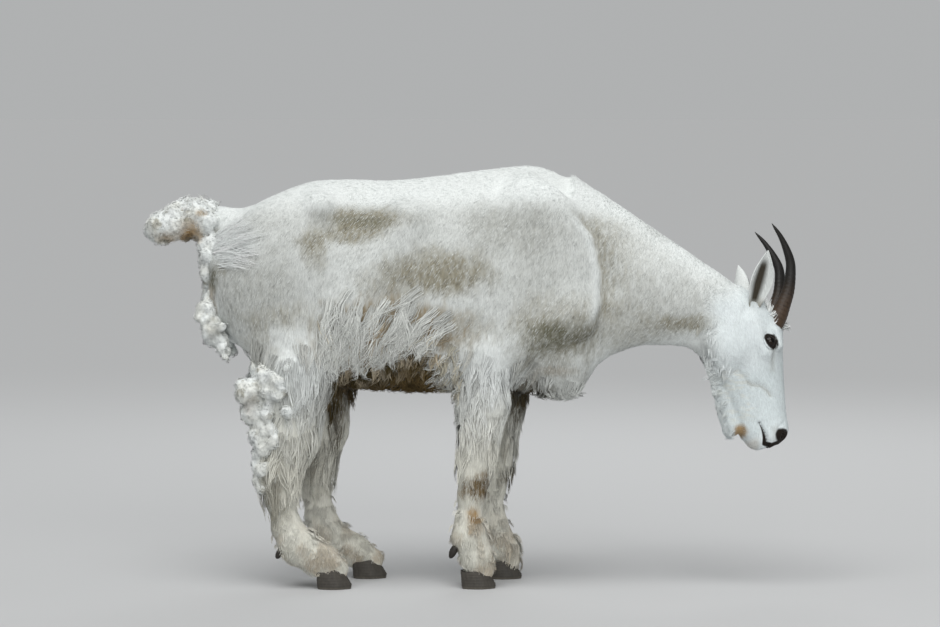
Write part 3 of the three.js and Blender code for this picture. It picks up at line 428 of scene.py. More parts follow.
def before_crest(p):
    """How far each point lies before the shoulder's edge, and how much of the edge there is at its height."""
    ahead = p[:, 0] - np.interp(p[:, 2], CREST_HEIGHTS, CREST_PLACES)
    there = band(p[:, 2], 618, 850, 26) * smooth(28, 60, np.abs(p[:, 1]))
    return ahead, there


def behind_head(p):
    """Where body and legs are, and not the hanging head at the same height."""
    return p[:, 0] < 400


def face_share(p):
    s = in_head(p)[:, 0]
    return smooth(20, 90, s) * smooth(540, 600, p[:, 0])


def head_share(p):
    return smooth(-60, 20, in_head(p)[:, 0]) * smooth(520, 580, p[:, 0])


def nap_depth(p):
    deep = 4.0 + 0 * p[:, 0]
    deep = mix(deep, 2.6, head_share(p))
    deep = mix(deep, 1.6, smooth(180, 300, in_head(p)[:, 0]) * smooth(560, 600, p[:, 0]))
    deep = mix(deep, 5.0, smooth(330, 200, p[:, 2]) * (p[:, 0] < 300))
    return mix(deep, 2.5, smooth(90, 50, p[:, 2]))


def lie(p, out):
    """Which way the coat points at each place, laid flat on the skin."""
    x, _, z = p.T
    s, _, h = in_head(p).T
    jaw = (smooth(-10, -50, h) * band(s, 130, 300, 20))[:, None]
    face = -HEAD_S * (1 - 0.85 * jaw) - (0.35 + jaw) * HEAD_H * smooth(10, -60, h)[:, None]
    face = face + 0.25 * HEAD_H * smooth(40, 90, h)[:, None]
    way = np.tile(vec(-0.55, 0, -0.8), (len(p), 1))
    # Back, belly and legs, thighs, tail and head
    for share, target in (
        (smooth(860, 930, z), vec(-1, 0, -0.1)),
        (smooth(600, 480, z) * behind_head(p), vec(-0.12, 0, -1)),
        (smooth(-300, -380, x) * smooth(760, 640, z), vec(-0.2, 0, -1)),
        (smooth(-560, -620, x) * smooth(760, 790, z), vec(-1, 0, -0.15)),
        (head_share(p), face),
    ):
        way = mix(way, target, share[:, None])
    return unit(way - out * dot(way, out)[:, None])


# Markings, shared by skin and coat. Colours are linear light.
SNOW = vec(0.845, 0.878, 0.866)
COOL = vec(0.810, 0.870, 0.885)
STEEL_SHADE = vec(0.440, 0.520, 0.535)
CREAM = vec(0.760, 0.725, 0.600)
BEIGE = vec(0.290, 0.270, 0.205)
GREY = vec(0.400, 0.405, 0.375)
OLIVE = vec(0.165, 0.160, 0.110)
TAN = vec(0.350, 0.230, 0.105)
BROWN = vec(0.078, 0.056, 0.019)
DARK = vec(0.016, 0.012, 0.009)
BRIGHTEST = 0.9

# Soft patches: middle (x, y to either side, z), radii, colour, strength and how ragged the edge is
PATCHES = [
    ((-68, 140, 726), (130, 90, 60), BEIGE, 0.95, 0.7),
    ((-190, 140, 700), (80, 80, 44), BEIGE, 0.40, 0.9),
    # Painted shade in the flank's hollow, over the hair's own olive brown there
    ((-232, 110, 846), (112, 70, 30), BEIGE, 0.92, 0.5),
    ((-244, 110, 838), (72, 70, 17), OLIVE, 0.62, 0.6),
    ((-268, 110, 814), (74, 70, 26), BEIGE, 0.85, 0.8),
    ((-354, 110, 790), (40, 70, 50), BEIGE, 0.80, 0.9),
    ((-340, 110, 842), (30, 70, 26), GREY, 0.55, 0.9),
    ((-480, 110, 680), (120, 70, 120), GREY, 0.60, 0.6),
    ((-420, 110, 625), (110, 70, 34), BEIGE, 0.50, 0.9),
    ((150, 100, 740), (150, 90, 150), GREY, 0.30, 0.5),
    ((90, 100, 825), (130, 90, 60), GREY, 0.62, 0.9),
    ((186, 90, 592), (140, 80, 92), BEIGE, 0.82, 0.6),
    ((194, 90, 584), (112, 80, 46), OLIVE, 0.85, 0.7),
    # Painted shade on the lower neck and in the groove below its muscle
    ((460, 70, 640), (150, 80, 70), GREY, 0.30, 0.6),
    ((505, 60, 606), (90, 60, 20), BEIGE, 0.72, 0.8),
    ((350, 60, 590), (150, 90, 60), BEIGE, 0.42, 0.7),
    ((-150, 130, 600), (200, 100, 60), BEIGE, 0.72, 0.7),
    ((-470, 100, 545), (60, 70, 60), BEIGE, 0.35, 0.9),
    # Painted shade in the gap between the wool below the tail and the rump, over its darker bare skin
    ((-588, 56, 712), (20, 44, 40), OLIVE, 0.85, 0.7),
    ((-560, 70, 735), (22, 40, 22), BEIGE, 0.6, 0.8),
    ((-180, 140, 598), (170, 60, 76), mix(BEIGE, TAN, 0.45), 0.85, 0.8),
    ((-190, 60, 478), (205, 130, 66), BROWN, 0.97, 0.5),
    ((138, 60, 452), (58, 90, 34), BROWN, 0.75, 0.7),
    ((196, 60, 498), (60, 70, 13), TAN, 0.45, 0.9),
    ((-292, 24, 410), (66, 62, 110), BROWN, 0.92, 0.5),
    # Painted shade on the inner sides of the hind legs, between them
    ((-376, 50, 320), (44, 26, 76), BROWN, 0.55, 0.8),
    ((-446, 104, 205), (34, 50, 96), BEIGE, 0.72, 0.9),
    ((200, 70, 500), (100, 80, 50), GREY, 0.50, 0.7),
    ((-532, 90, 784), (74, 70, 34), SNOW, 0.80, 0.5),
    ((112, 30, 440), (66, 80, 50), BROWN, 0.92, 0.5),
    ((66, 46, 380), (44, 34, 130), BEIGE, 0.6, 0.6),
    ((24, 112, 236), (46, 36, 32), mix(BROWN, TAN, 0.35), 0.95, 0.9),
    ((10, 110, 160), (20, 30, 34), TAN, 0.8, 0.9),
    ((60, 110, 226), (26, 50, 26), BROWN, 0.7, 0.9),
    ((96, 80, 242), (28, 50, 32), BROWN, 0.85, 0.8),
    ((-655, 0, 796), (56, 70, 26), TAN, 0.75, 0.7),
    ((-600, 20, 812), (36, 60, 18), BEIGE, 0.6, 0.7),
    ((-596, 40, 640), (24, 44, 50), TAN, 0.5, 1.0),
]


def tinted(colour, tint, share):
    """Colours taken towards a tint by each point's share."""
    return mix(colour, tint, np.clip(share, 0, 1)[:, None])


def markings(p):
    """Colours at points on the skin."""
    wobble = noise(p, 30, 5) * 0.5 + noise(p * vec(2.2, 2.2, 0.8), 16, 6) * 0.5 - 0.5
    # Fine upright streaks where the coat is thin over darker skin
    fibres = 0.35 + 1.3 * noise(p * vec(2.6, 2.6, 0.5), 8, 19)
    colour = np.tile(SNOW, (len(p), 1))
    # A little darker and greyer in broad lumps, as the thin summer coat is
    streaks = smooth(0.45, 0.9, noise(p * vec(2.4, 2.4, 0.7), 9, 17)) * smooth(0.3, 0.7, noise(p, 90, 18))
    shade = smooth(0.35, 0.85, noise(p, 70, 1)) * 0.16
    shade = shade + smooth(0.4, 0.9, noise(p, 26, 2)) * 0.12 + 0.30 * streaks
    colour = tinted(colour, GREY, shade * (1 - 0.7 * smooth(830, 900, p[:, 2])))
    # Painted shade: the sides of the body greyer than the back, between the back and the belly
    side = smooth(50, 105, np.abs(p[:, 1])) * band(p[:, 2], 590, 880, 30) * smooth(330, 250, p[:, 0])
    colour = tinted(colour, GREY, 0.34 * side)
    # Cream legs, stained towards the hooves
    low = smooth(520, 300, p[:, 2]) * (p[:, 0] < 420)
    colour = tinted(colour, CREAM, 0.60 * low)
    stain = smooth(190, 60, p[:, 2]) * smooth(0.35, 0.75, noise(p, 24, 9))
    colour = tinted(colour, TAN, 0.45 * stain)
    # Thin grey-brown hair before the shoulder, which also carries painted shade of the groove there, and a
    # painted highlight as a white rim along the edge
    ahead, there = before_crest(p)
    near, far = np.exp(-np.maximum(ahead, 0) / 50), np.exp(-np.maximum(ahead, 0) / 170)
    # Painted shade of the groove before the shoulder, mixed with the thin hair's own grey-brown
    grown = smooth(-3, 7, ahead) * (0.45 * near + 0.36 * far)
    colour = tinted(colour, BEIGE, there * grown * fibres)
    for centre, radii, tint, strength, ragged in PATCHES:
        q = (mirrored(p) - vec(*centre)) / vec(*radii)
        share = strength * (1 - smooth(0.35, 1.3, np.linalg.norm(q, axis=1) + ragged * wobble))
        colour = tinted(colour, tint, share * mix(1.0, fibres, 0.75))
    # Painted highlight: a white rim just behind the shoulder's edge
    colour = tinted(colour, SNOW, 0.75 * np.exp(-(((ahead + 8) / 9) ** 2)) * there)
    # The face: blue-white, with painted bluish shade on its sides, painted shade under the jaw, in its folds
    # and under the nose, and stains at the mouth
    face = head_share(p)
    m = on_face(p)
    s, w, h = m.T
    colour = tinted(colour, COOL, 0.8 * face)
    sides = smooth(10, 22, w)
    cheek_fold = path_distance(s, h, FACE_FOLDS[0][0]) / 7.0
    brow_fold = path_distance(s, h, FACE_FOLDS[1][0]) / 7.0
    crease = path_distance(s, h + 3.0 * (noise(p, 14, 21) - 0.5), CREASE) / 2.4
    cheek = band(s, 150, 270, 20) * band(h, -105, -40, 15) * smooth(0.4, 0.8, noise(p * vec(1, 1, 3), 12, 23))
    for share, tint in (
        # Painted bluish shade on the sides of the muzzle and of the brow
        (0.34 * smooth(125, 190, s) * smooth(6, 18, w) * (1 - smooth(300, 322, s)), STEEL_SHADE),
        (0.16 * smooth(20, 60, s) * smooth(130, 90, s) * smooth(10, 40, h) * sides, STEEL_SHADE),
        # Painted shade under the jaw
        (0.16 * band(s, 40, 250, 40) * smooth(-60, -108, h), GREY),
        # Painted shade in the cheek's fold, its short crease and the brow's fold
        (0.26 * np.exp(-(cheek_fold ** 2)) * sides, GREY),
        (0.60 * np.exp(-(crease ** 2)) * sides, GREY),
        (0.42 * np.exp(-(brow_fold ** 2)) * sides * noise(p, 8, 22) * 1.6, GREY),
        (0.30 * cheek, CREAM),
        # Painted shade under the nose, between it and the lip
        (0.35 * band(s, 300, 334, 8) * band(h, -14, 4, 6) * sides, GREY),
        (0.95 * (1 - smooth(8, 20, np.hypot((s - 292) * 0.8, h + 84) + 8 * wobble)), TAN),
        (0.30 * band(s, 318, 360, 8) * band(h, -80, -50, 8), TAN),
    ):
        colour = tinted(colour, tint, share * face)
    # Bare dark skin round the eye, on the nose and along the lips
    e = m - EYE_CENTRE
    x, y = e @ LID_LONG, e @ LID_HIGH
    rim = np.hypot(x / (LIDS["long"] + 2.5), y / (LIDS["high"] + 1.8))
    lids = (1 - smooth(1.0, 1.18, rim)) * (w > 25)
    tear = 0.8 * (1 - smooth(1.0, 3.0, path_distance(x, y, [(14, 0), (20, -2)]))) * (w > 25)
    nose = 1 - smooth(0.85, 1.05, nose_reach(s, w, h) + 0.2 * wobble)
    lips = 1 - smooth(0, 2.4, path_distance(s, h, LIP_LINE) - mix(0.6, 4.2, smooth(290, 338, s)))
    for share in (lids, tear, nose, lips):
        colour = mix(colour, DARK, (np.clip(share, 0, 1) * face)[:, None])
    return colour


# Unwrap of the body for baking: strips of the square for the trunk with neck and tail, the head and each leg

def turn_share(y, x):
    """Angle as a share of a whole turn."""
    return np.arctan2(y, x) / (2 * np.pi) + 0.5


def unwrap(p):
    uv = np.zeros((len(p), 2))
    uv[:, 0] = 0.02 + 0.96 * np.clip((p[:, 0] + 760) / 1400, 0, 1)
    uv[:, 1] = 0.02 + 0.44 * turn_share(p[:, 1], p[:, 2] - 690)
    q = in_head(p)
    on_head = (q[:, 0] > -20) & (p[:, 0] > 540)
    uv[on_head, 0] = 0.02 + 0.44 * np.clip((q[on_head, 0] + 160) / 520, 0, 1)
    uv[on_head, 1] = 0.52 + 0.20 * turn_share(q[:, 1], q[:, 2] + 15)[on_head]
    for i, spec in enumerate(LEGS.values()):
        centre = leg_middle(spec, p[:, 2])
        near = (np.abs(p[:, 0] - centre[:, 0]) < 130) & (p[:, 0] < 420)
        mine = near & (p[:, 2] < 500) & (p[:, 1] * spec["side"] > 5)
        around = turn_share(p[:, 1] - centre[:, 1], p[:, 0] - centre[:, 0])
        uv[mine, 0] = 0.02 + 0.96 * np.clip(p[mine, 2] / 500, 0, 1)
        uv[mine, 1] = 0.75 + 0.06 * i + 0.055 * around[mine]
    return uv


def leg_middle(spec, z):
    """The leg's middle line at each height."""
    joints = np.array(spec["joints"])[::-1]
    return np.stack([np.interp(z, joints[:, 2], joints[:, k]) for k in range(3)], 1)


# Meshes

def new_object(name, data):
    obj = bpy.data.objects.new(name, data)
    bpy.context.scene.collection.objects.link(obj)
    return obj


def make_object(name, points, faces, material, colours, uvs=None, normals=None):
    """A mesh object from points in millimetres and triangles. normals give the shading of hair."""
    mesh = bpy.data.meshes.new(name)
    points = np.asarray(points) * MM
    mesh.vertices.add(len(points))
    mesh.vertices.foreach_set("co", points.astype(np.float32).ravel())
    faces = np.asarray(faces, np.int32)
    mesh.loops.add(faces.size)
    mesh.loops.foreach_set("vertex_index", faces.ravel())
    mesh.polygons.add(len(faces))
    mesh.polygons.foreach_set("loop_start", np.arange(0, faces.size, 3, dtype=np.int32))
    mesh.update(calc_edges=True)
    rgba = np.concatenate([colours, np.ones((len(colours), 1))], 1)
    layer = mesh.attributes.new("coat", "FLOAT_COLOR", "POINT")
    layer.data.foreach_set("color", rgba.astype(np.float32).ravel())
    if uvs is not None:
        layer = mesh.uv_layers.new(name="OFBake")
        layer.data.foreach_set("uv", uvs[faces.ravel()].astype(np.float32).ravel())
    mesh.polygons.foreach_set("use_smooth", np.ones(len(faces), bool))
    mesh.update()
    if normals is not None:
        mesh.normals_split_custom_set(normals.astype(np.float32))
    obj = new_object(name, mesh)
    obj.data.materials.append(material)
    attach(obj, "root")
    return obj


def ring_faces(rows, turns):
    """Triangles over rings of points one above the other, closed by a point for each end."""
    grid = np.arange(rows * turns).reshape(rows, turns)
    turned = np.roll(grid, -1, 1)
    a, b, c, d = grid[:-1], turned[:-1], grid[1:], turned[1:]
    first, last = (np.full(turns, rows * turns + end) for end in (0, 1))
    return np.concatenate([
        np.stack([a, b, d], -1).reshape(-1, 3), np.stack([a, d, c], -1).reshape(-1, 3),
        np.stack([first, turned[0], grid[0]], 1), np.stack([last, grid[-1], turned[-1]], 1)])


def ring_colours(colour, turns):
    """A colour for each ring, and for both end points."""
    return np.concatenate([np.repeat(colour, turns, 0), colour[:1], colour[-1:]])


# Materials

def new_material(name):
    material = bpy.data.materials.new(name)
    material.use_nodes = True
    tree = material.node_tree
    return material, tree, tree.nodes["Principled BSDF"]


def link(tree, a, b):
    tree.links.new(a, b)


def grain_node(tree, scale, detail, stretch=(1, 1, 1)):
    """Noise over the object, which runs in streaks along an axis that stretch gives less of."""
    coordinates = tree.nodes.new("ShaderNodeTexCoord")
    mapping = tree.nodes.new("ShaderNodeMapping")
    mapping.inputs["Scale"].default_value = stretch
    node = tree.nodes.new("ShaderNodeTexNoise")
    node.inputs["Scale"].default_value = scale
    node.inputs["Detail"].default_value = detail
    link(tree, coordinates.outputs["Object"], mapping.inputs["Vector"])
    link(tree, mapping.outputs["Vector"], node.inputs["Vector"])
    return node.outputs["Fac"]


def range_node(tree, value, low, high):
    """Turns values from 0 to 1 into low to high."""
    node = tree.nodes.new("ShaderNodeMapRange")
    node.inputs["To Min"].default_value = low
    node.inputs["To Max"].default_value = high
    link(tree, value, node.inputs["Value"])
    return node


def colour_shader(tree, shader, grain, low, high):
    """The mesh's own colours times the grain, taken as low to high."""
    colour = tree.nodes.new("ShaderNodeAttribute")
    colour.attribute_name = "coat"
    ramp = range_node(tree, grain, low, high)
    product = tree.nodes.new("ShaderNodeMix")
    product.data_type = "RGBA"
    product.blend_type = "MULTIPLY"
    product.inputs["Factor"].default_value = 1.0
    link(tree, colour.outputs["Color"], product.inputs["A"])
    link(tree, ramp.outputs["Result"], product.inputs["B"])
    link(tree, product.outputs["Result"], shader.inputs["Base Color"])
    return ramp


def bump_shader(tree, shader, grain, strength, distance):
    node = tree.nodes.new("ShaderNodeBump")
    node.inputs["Strength"].default_value = strength
    node.inputs["Distance"].default_value = distance
    link(tree, grain, node.inputs["Height"])
    link(tree, node.outputs["Normal"], shader.inputs["Normal"])


def coat_material(name, bump=0.0, streak=(1, 1, 0.16), scale=420.0, variation=0.22):
    material, tree, shader = new_material(name)
    grain = grain_node(tree, scale, 3.0, streak)
    ramp = colour_shader(tree, shader, grain, 1.0 - variation, 1.0)
    ramp.inputs["From Min"].default_value = 0.3
    ramp.inputs["From Max"].default_value = 0.7
    shader.inputs["Roughness"].default_value = 0.85
    shader.inputs["Specular IOR Level"].default_value = 0.12
    shader.inputs["Sheen Weight"].default_value = 0.06
    shader.inputs["Sheen Roughness"].default_value = 0.5
    if bump:
        bump_shader(tree, shader, grain, bump, 0.0025)
    return material


def horn_material(name, roughness, scale, stretch, bump):
    material, tree, shader = new_material(name)
    grain = grain_node(tree, scale, 5.0, stretch)
    colour_shader(tree, shader, grain, 0.55, 1.5)
    rough = range_node(tree, grain, roughness - 0.1, roughness + 0.15)
    link(tree, rough.outputs["Result"], shader.inputs["Roughness"])
    shader.inputs["Specular IOR Level"].default_value = 0.32
    bump_shader(tree, shader, grain, bump, 0.0008)
    return material


def eye_material():
    material, tree, shader = new_material("eye_gloss")
    colour_shader(tree, shader, grain_node(tree, 900.0, 4.0), 0.6, 1.4)
    shader.inputs["Roughness"].default_value = 0.10
    shader.inputs["Specular IOR Level"].default_value = 0.22
    return material


def plain_material(name, colour, roughness):
    material, _, shader = new_material(name)
    shader.inputs["Base Color"].default_value = (*colour, 1)
    shader.inputs["Roughness"].default_value = roughness
    return material


SKIN_LOOK = coat_material("short_coat", bump=0.55)
TUFT_LOOK = coat_material("coat_tufts", scale=260.0, variation=0.12)
WOOL_LOOK = coat_material("wool", bump=0.6, streak=(1, 1, 1), scale=240.0, variation=0.15)


# The skin: a grid of cells round the form, one point in each cell that the surface crosses

# Nothing comes nearer to the floor than this
FLOOR_CLEAR = 1.0
# Width of the cells, how many of them a coarse one has along each edge, where the grid starts, and the count
# of its coarse cells
GRID = 5.0
COARSE = 4
LOW = vec(-760, -180, -20)
CELLS = (76, 18, 50)


def skin_level(p, fine=False):
    """Distance to the skin, which lies inside the solids' form by the depth of the nap."""
    lumps = (noise(p, 34, 3) - 0.5) * 3.0 * (1 - head_share(p)) * smooth(700, 560, p[:, 2])
    veins = (noise(p, 15, 4) - 0.5) * 1.2 * (1 - face_share(p))
    ahead, there = before_crest(p)
    step = 5.0 * smooth(-5, 9, ahead) * np.exp(-np.maximum(ahead, 0) / 60)
    step = step - 2.0 * np.exp(-(((ahead + 11) / 12) ** 2))
    return whole(p, fine) + nap_depth(p) + lumps + veins + there * step


def in_parts(shape, p, size=200000):
    """The shape's distances, worked out for some of the points at a time."""
    return np.concatenate([shape(p[i:i + size]) for i in range(0, len(p), size)])


def window(corner, counts):
    """The part of a grid that starts at a corner of its first cell."""
    return tuple(slice(a, a + n) for a, n in zip(corner, counts))


def surface_cells():
    """The skin's distances on the fine grid, exact near the surface and coarse elsewhere."""
    counts = np.array(CELLS)
    axes = [LOW[k] + np.arange(counts[k] + 1) * GRID * COARSE for k in range(3)]
    rough = np.stack(np.meshgrid(*axes, indexing="ij"), -1)
    values = in_parts(skin_level, rough.reshape(-1, 3)).reshape(rough.shape[:3])
    close = np.zeros(CELLS, bool)
    for corner in CORNERS:
        close |= np.abs(values[window(corner, CELLS)]) < GRID * COARSE * 1.2
    near = np.zeros(tuple(counts * COARSE + 1), bool)
    big = close.repeat(COARSE, 0).repeat(COARSE, 1).repeat(COARSE, 2)
    for corner in CORNERS:
        near[window(corner, big.shape)] |= big
    nearest = [(np.arange(n * COARSE + 1) + COARSE // 2) // COARSE for n in counts]
    field = values[np.ix_(*nearest)]
    field[near] = in_parts(skin_level, LOW + np.argwhere(near) * GRID)
    return field


def surface_net(field, low=LOW, grid=GRID):
    """Points and triangles of the surface where a field on a grid is zero."""
    inside = field < 0
    counts = [n - 1 for n in field.shape]
    total = sum(inside[window(corner, counts)].astype(np.int8) for corner in CORNERS)
    mixed = (total > 0) & (total < 8)
    cells = np.argwhere(mixed)
    index = np.full(mixed.shape, -1, np.int64)
    index[mixed] = np.arange(len(cells))
    value = {corner: field[tuple((cells + corner).T)] for corner in CORNERS}
    # Each cell's point is the mean of the places where the surface crosses the cell's edges
    total = np.zeros((len(cells), 3))
    count = np.zeros(len(cells))
    for a in CORNERS:
        for axis in range(3):
            if a[axis] == 0:
                b = tuple(1 if k == axis else a[k] for k in range(3))
                va, vb = value[a], value[b]
                cross = (va < 0) != (vb < 0)
                t = np.where(cross, va / np.where(va == vb, 1, va - vb), 0)
                place = np.array(a, float) + t[:, None] * (np.array(b) - np.array(a))
                total[cross] += place[cross]
                count[cross] += 1
    points = low + (cells + total / count[:, None]) * grid
    # Four cells round each edge of the grid that the surface crosses make two triangles
    quads = []
    for axis in range(3):
        u, v = (axis + 1) % 3, (axis + 2) % 3
        before, after = (
            inside[tuple(part if k == axis else slice(1, -1) for k in range(3))]
            for part in (slice(0, -1), slice(1, None)))
        for start, flip in ((before & ~after, False), (~before & after, True)):
            at = np.argwhere(start)
            at[:, [u, v]] += 1
            four = []
            for du, dv in ((-1, -1), (0, -1), (0, 0), (-1, 0)):
                cell = at.copy()
                cell[:, u] += du
                cell[:, v] += dv
                four.append(index[tuple(cell.T)])
            quad = np.stack(four, 1)
            quads.append(quad[:, ::-1] if flip else quad)
    a, b, c, d = np.concatenate(quads).T
    short = np.linalg.norm(points[a] - points[c], axis=1) <= np.linalg.norm(points[b] - points[d], axis=1)
    first = np.where(short[:, None], np.stack([a, b, c], 1), np.stack([a, b, d], 1))
    second = np.where(short[:, None], np.stack([a, c, d], 1), np.stack([b, c, d], 1))
    return points, np.concatenate([first, second])


def settle(points, shape, rounds=2, most=3.0, step=1.0):
    """Moves points on to the surface."""
    points = points.copy()
    for _ in range(rounds):
        d = in_parts(shape, points)
        g = np.stack([in_parts(shape, points + o) - d for o in np.eye(3) * step], 1) / step
        move = -d[:, None] * g / np.maximum(dot(g, g), 0.05)[:, None]
        far = np.linalg.norm(move, axis=1, keepdims=True)
        points += move * np.minimum(1, most / np.maximum(far, 1e-9))
    return points


def refine(points, faces, marked):
    """Halves the edges between marked points, with fitting triangles beside them."""
    edges = np.sort(np.stack([faces, np.roll(faces, -1, 1)], 2).reshape(-1, 2), 1)
    key, back = np.unique(edges[:, 0] * len(points) + edges[:, 1], return_inverse=True)
    ends = np.stack([key // len(points), key % len(points)], 1)
    split = marked[ends].all(1)
    middle = np.full(len(key), -1)
    middle[split] = len(points) + np.arange(split.sum())
    points = np.concatenate([points, points[ends[split]].mean(1)])
    m = middle[back].reshape(-1, 3)
    cut = m >= 0
    number = cut.sum(1)
    made = [faces[number == 0]]
    full = number == 3
    (a, b, c), (x, y, z) = faces[full].T, m[full].T
    made += [np.stack(t, 1) for t in ((a, x, z), (x, b, y), (z, y, c), (x, y, z))]
    for turn in range(3):
        f, n, k = np.roll(faces, -turn, 1), np.roll(m, -turn, 1), np.roll(cut, -turn, 1)
        one = (number == 1) & k[:, 0]
        a, b, c = f[one].T
        x = n[one, 0]
        made += [np.stack((a, x, c), 1), np.stack((x, b, c), 1)]
        two = (number == 2) & ~k[:, 2]
        a, b, c = f[two].T
        x, y = n[two, 0], n[two, 1]
        made += [np.stack(t, 1) for t in ((x, b, y), (a, x, y), (a, y, c))]
    return points, np.concatenate(made)


def fine_level(p):
    return skin_level(p, True)


def make_skin():
    """The skin's points and triangles, finer on the head and finest at the eyes, nose and lips."""
    points, faces = surface_net(surface_cells())
    points = settle(points, skin_level)
    for zone in (head_zone, face_zone, detail_zone):
        points, faces = refine(points, faces, zone(points))
        moved = zone(points)
        points[moved] = settle(points[moved], fine_level, most=2.0, step=0.6)
    points[:, 2] = np.maximum(points[:, 2], FLOOR_CLEAR)
    return points, faces


# The head's skin lies in front of this x
HEAD_SKIN = 566


def head_zone(p):
    return (p[:, 0] > HEAD_SKIN) & (in_head(p)[:, 0] > -40)


def face_zone(p):
    m = on_face(p)
    s, w, h = m.T
    eye = np.linalg.norm(m - EYE_CENTRE, axis=1) < 34
    fold = (path_distance(s, h, FACE_FOLDS[0][0]) < 12) & (w > 8)
    return (p[:, 0] > HEAD_SKIN) & (eye | (s > 256) | fold)


def detail_zone(p):
    m = on_face(p)
    s, w, h = m.T
    eye = np.linalg.norm(m - EYE_CENTRE, axis=1) < 27
    lips = (s > 278) & (np.abs(h + 33) < 12)
    nose = (s > 304) & (h > -4)
    return (p[:, 0] > HEAD_SKIN) & (eye | lips | nose)


# Ears: a thin cup, fine enough for its rim. Root, tip and the way that each cup faces are (s, h, w).

EAR_ROOT = (33, 12, 38)
EAR_TIP = (-90, 66, 100)
EAR_LOOK = {RIGHT: (0.2, 0.15, 1), LEFT: (0.2, 1.0, 0.35)}
# Share of the length, half width, depth of the cup and thickness
EAR_SECTIONS = [
    [0, 12, 10, 5], [0.14, 17, 12, 4.5], [0.3, 25, 14, 4], [0.48, 30, 15, 3.6],
    [0.66, 27, 12, 3.2], [0.82, 18, 8, 2.8], [0.93, 9, 4, 2.4], [1.0, 2.5, 1.5, 1.2],
]
EAR_RINGS = 34
EAR_ARC = 12


def ear_frame(side):
    root, tip, look = (head_point(s, h, w * side) for s, h, w in (EAR_ROOT, EAR_TIP, EAR_LOOK[side]))
    axis = unit(tip - root)
    look = look - POLL
    look = unit(look - axis * dot(look, axis))
    return root, tip, axis, look, np.cross(axis, look)


def make_ear(side):
    """Points, triangles and colours of an ear, with its root sunk in the head."""
    root, tip, axis, look, edge = ear_frame(side)
    length = np.linalg.norm(tip - root)
    t = np.linspace(-0.12, 1.0, EAR_RINGS)
    half, depth, wall = along(EAR_SECTIONS, np.maximum(t, 0)).T
    half = half - 1.2
    outer = np.pi * np.linspace(0.56, -0.56, EAR_ARC + 1)
    inner = np.pi * np.linspace(-0.5, 0.5, EAR_ARC + 1)
    ring_angle = np.concatenate([outer, inner])
    is_inner = np.concatenate([np.zeros(EAR_ARC + 1), np.ones(EAR_ARC + 1)])
    h = half[:, None] - is_inner * wall[:, None] * 0.8
    d = np.maximum(depth[:, None] - is_inner * wall[:, None], 0.3)
    across = np.sin(ring_angle) * h
    deep = depth[:, None] * 0.4 - np.cos(ring_angle) * d
    # The front edge stands a little forwards and the back edge rolls
    bow = 3.0 * np.sin(np.pi * np.clip(t, 0, 1))[:, None] * (across / np.maximum(half[:, None], 1)) ** 2
    points = root + t[:, None, None] * length * axis + across[..., None] * edge
    points = points + (deep + bow)[..., None] * look
    flat = np.concatenate([points.reshape(-1, 3), [points[0].mean(0)], [tip + axis]])
    faces = ring_faces(EAR_RINGS, len(ring_angle))
    a, b, c = flat[faces[0]]
    outwards = (a + b + c) / 3 - (root + t[0] * length * axis + depth[0] * 0.4 * look)
    if dot(np.cross(b - a, c - a), outwards) < 0:
        faces = faces[:, ::-1]
    # White fur with a dark brown hollow inside the cup
    lateral = np.abs(across / np.maximum(half[:, None], 1))
    hollow = is_inner * (1 - smooth(0.22, 0.72, lateral)) * smooth(0.10, 0.22, t)[:, None]
    hollow = hollow * (1 - smooth(0.74, 0.92, t))[:, None]
    colour = mix(SNOW, GREY, 0.12) + 0 * points
    foot = (smooth(0.30, 0.10, t) * smooth(-0.1, 0.0, t))[:, None] + 0 * across
    colour = mix(colour, mix(BEIGE, BROWN, 0.35), (0.75 * foot)[..., None])
    colour = mix(colour, mix(BROWN, DARK, 0.7), (0.97 * hollow)[..., None])
    colours = np.concatenate([colour.reshape(-1, 3), [SNOW], [SNOW]])
    return flat, faces, colours


# Coat: tapered strands with three sides, built in arrays

# How far the shading turns to a strand's sides
ROUND = 0.8


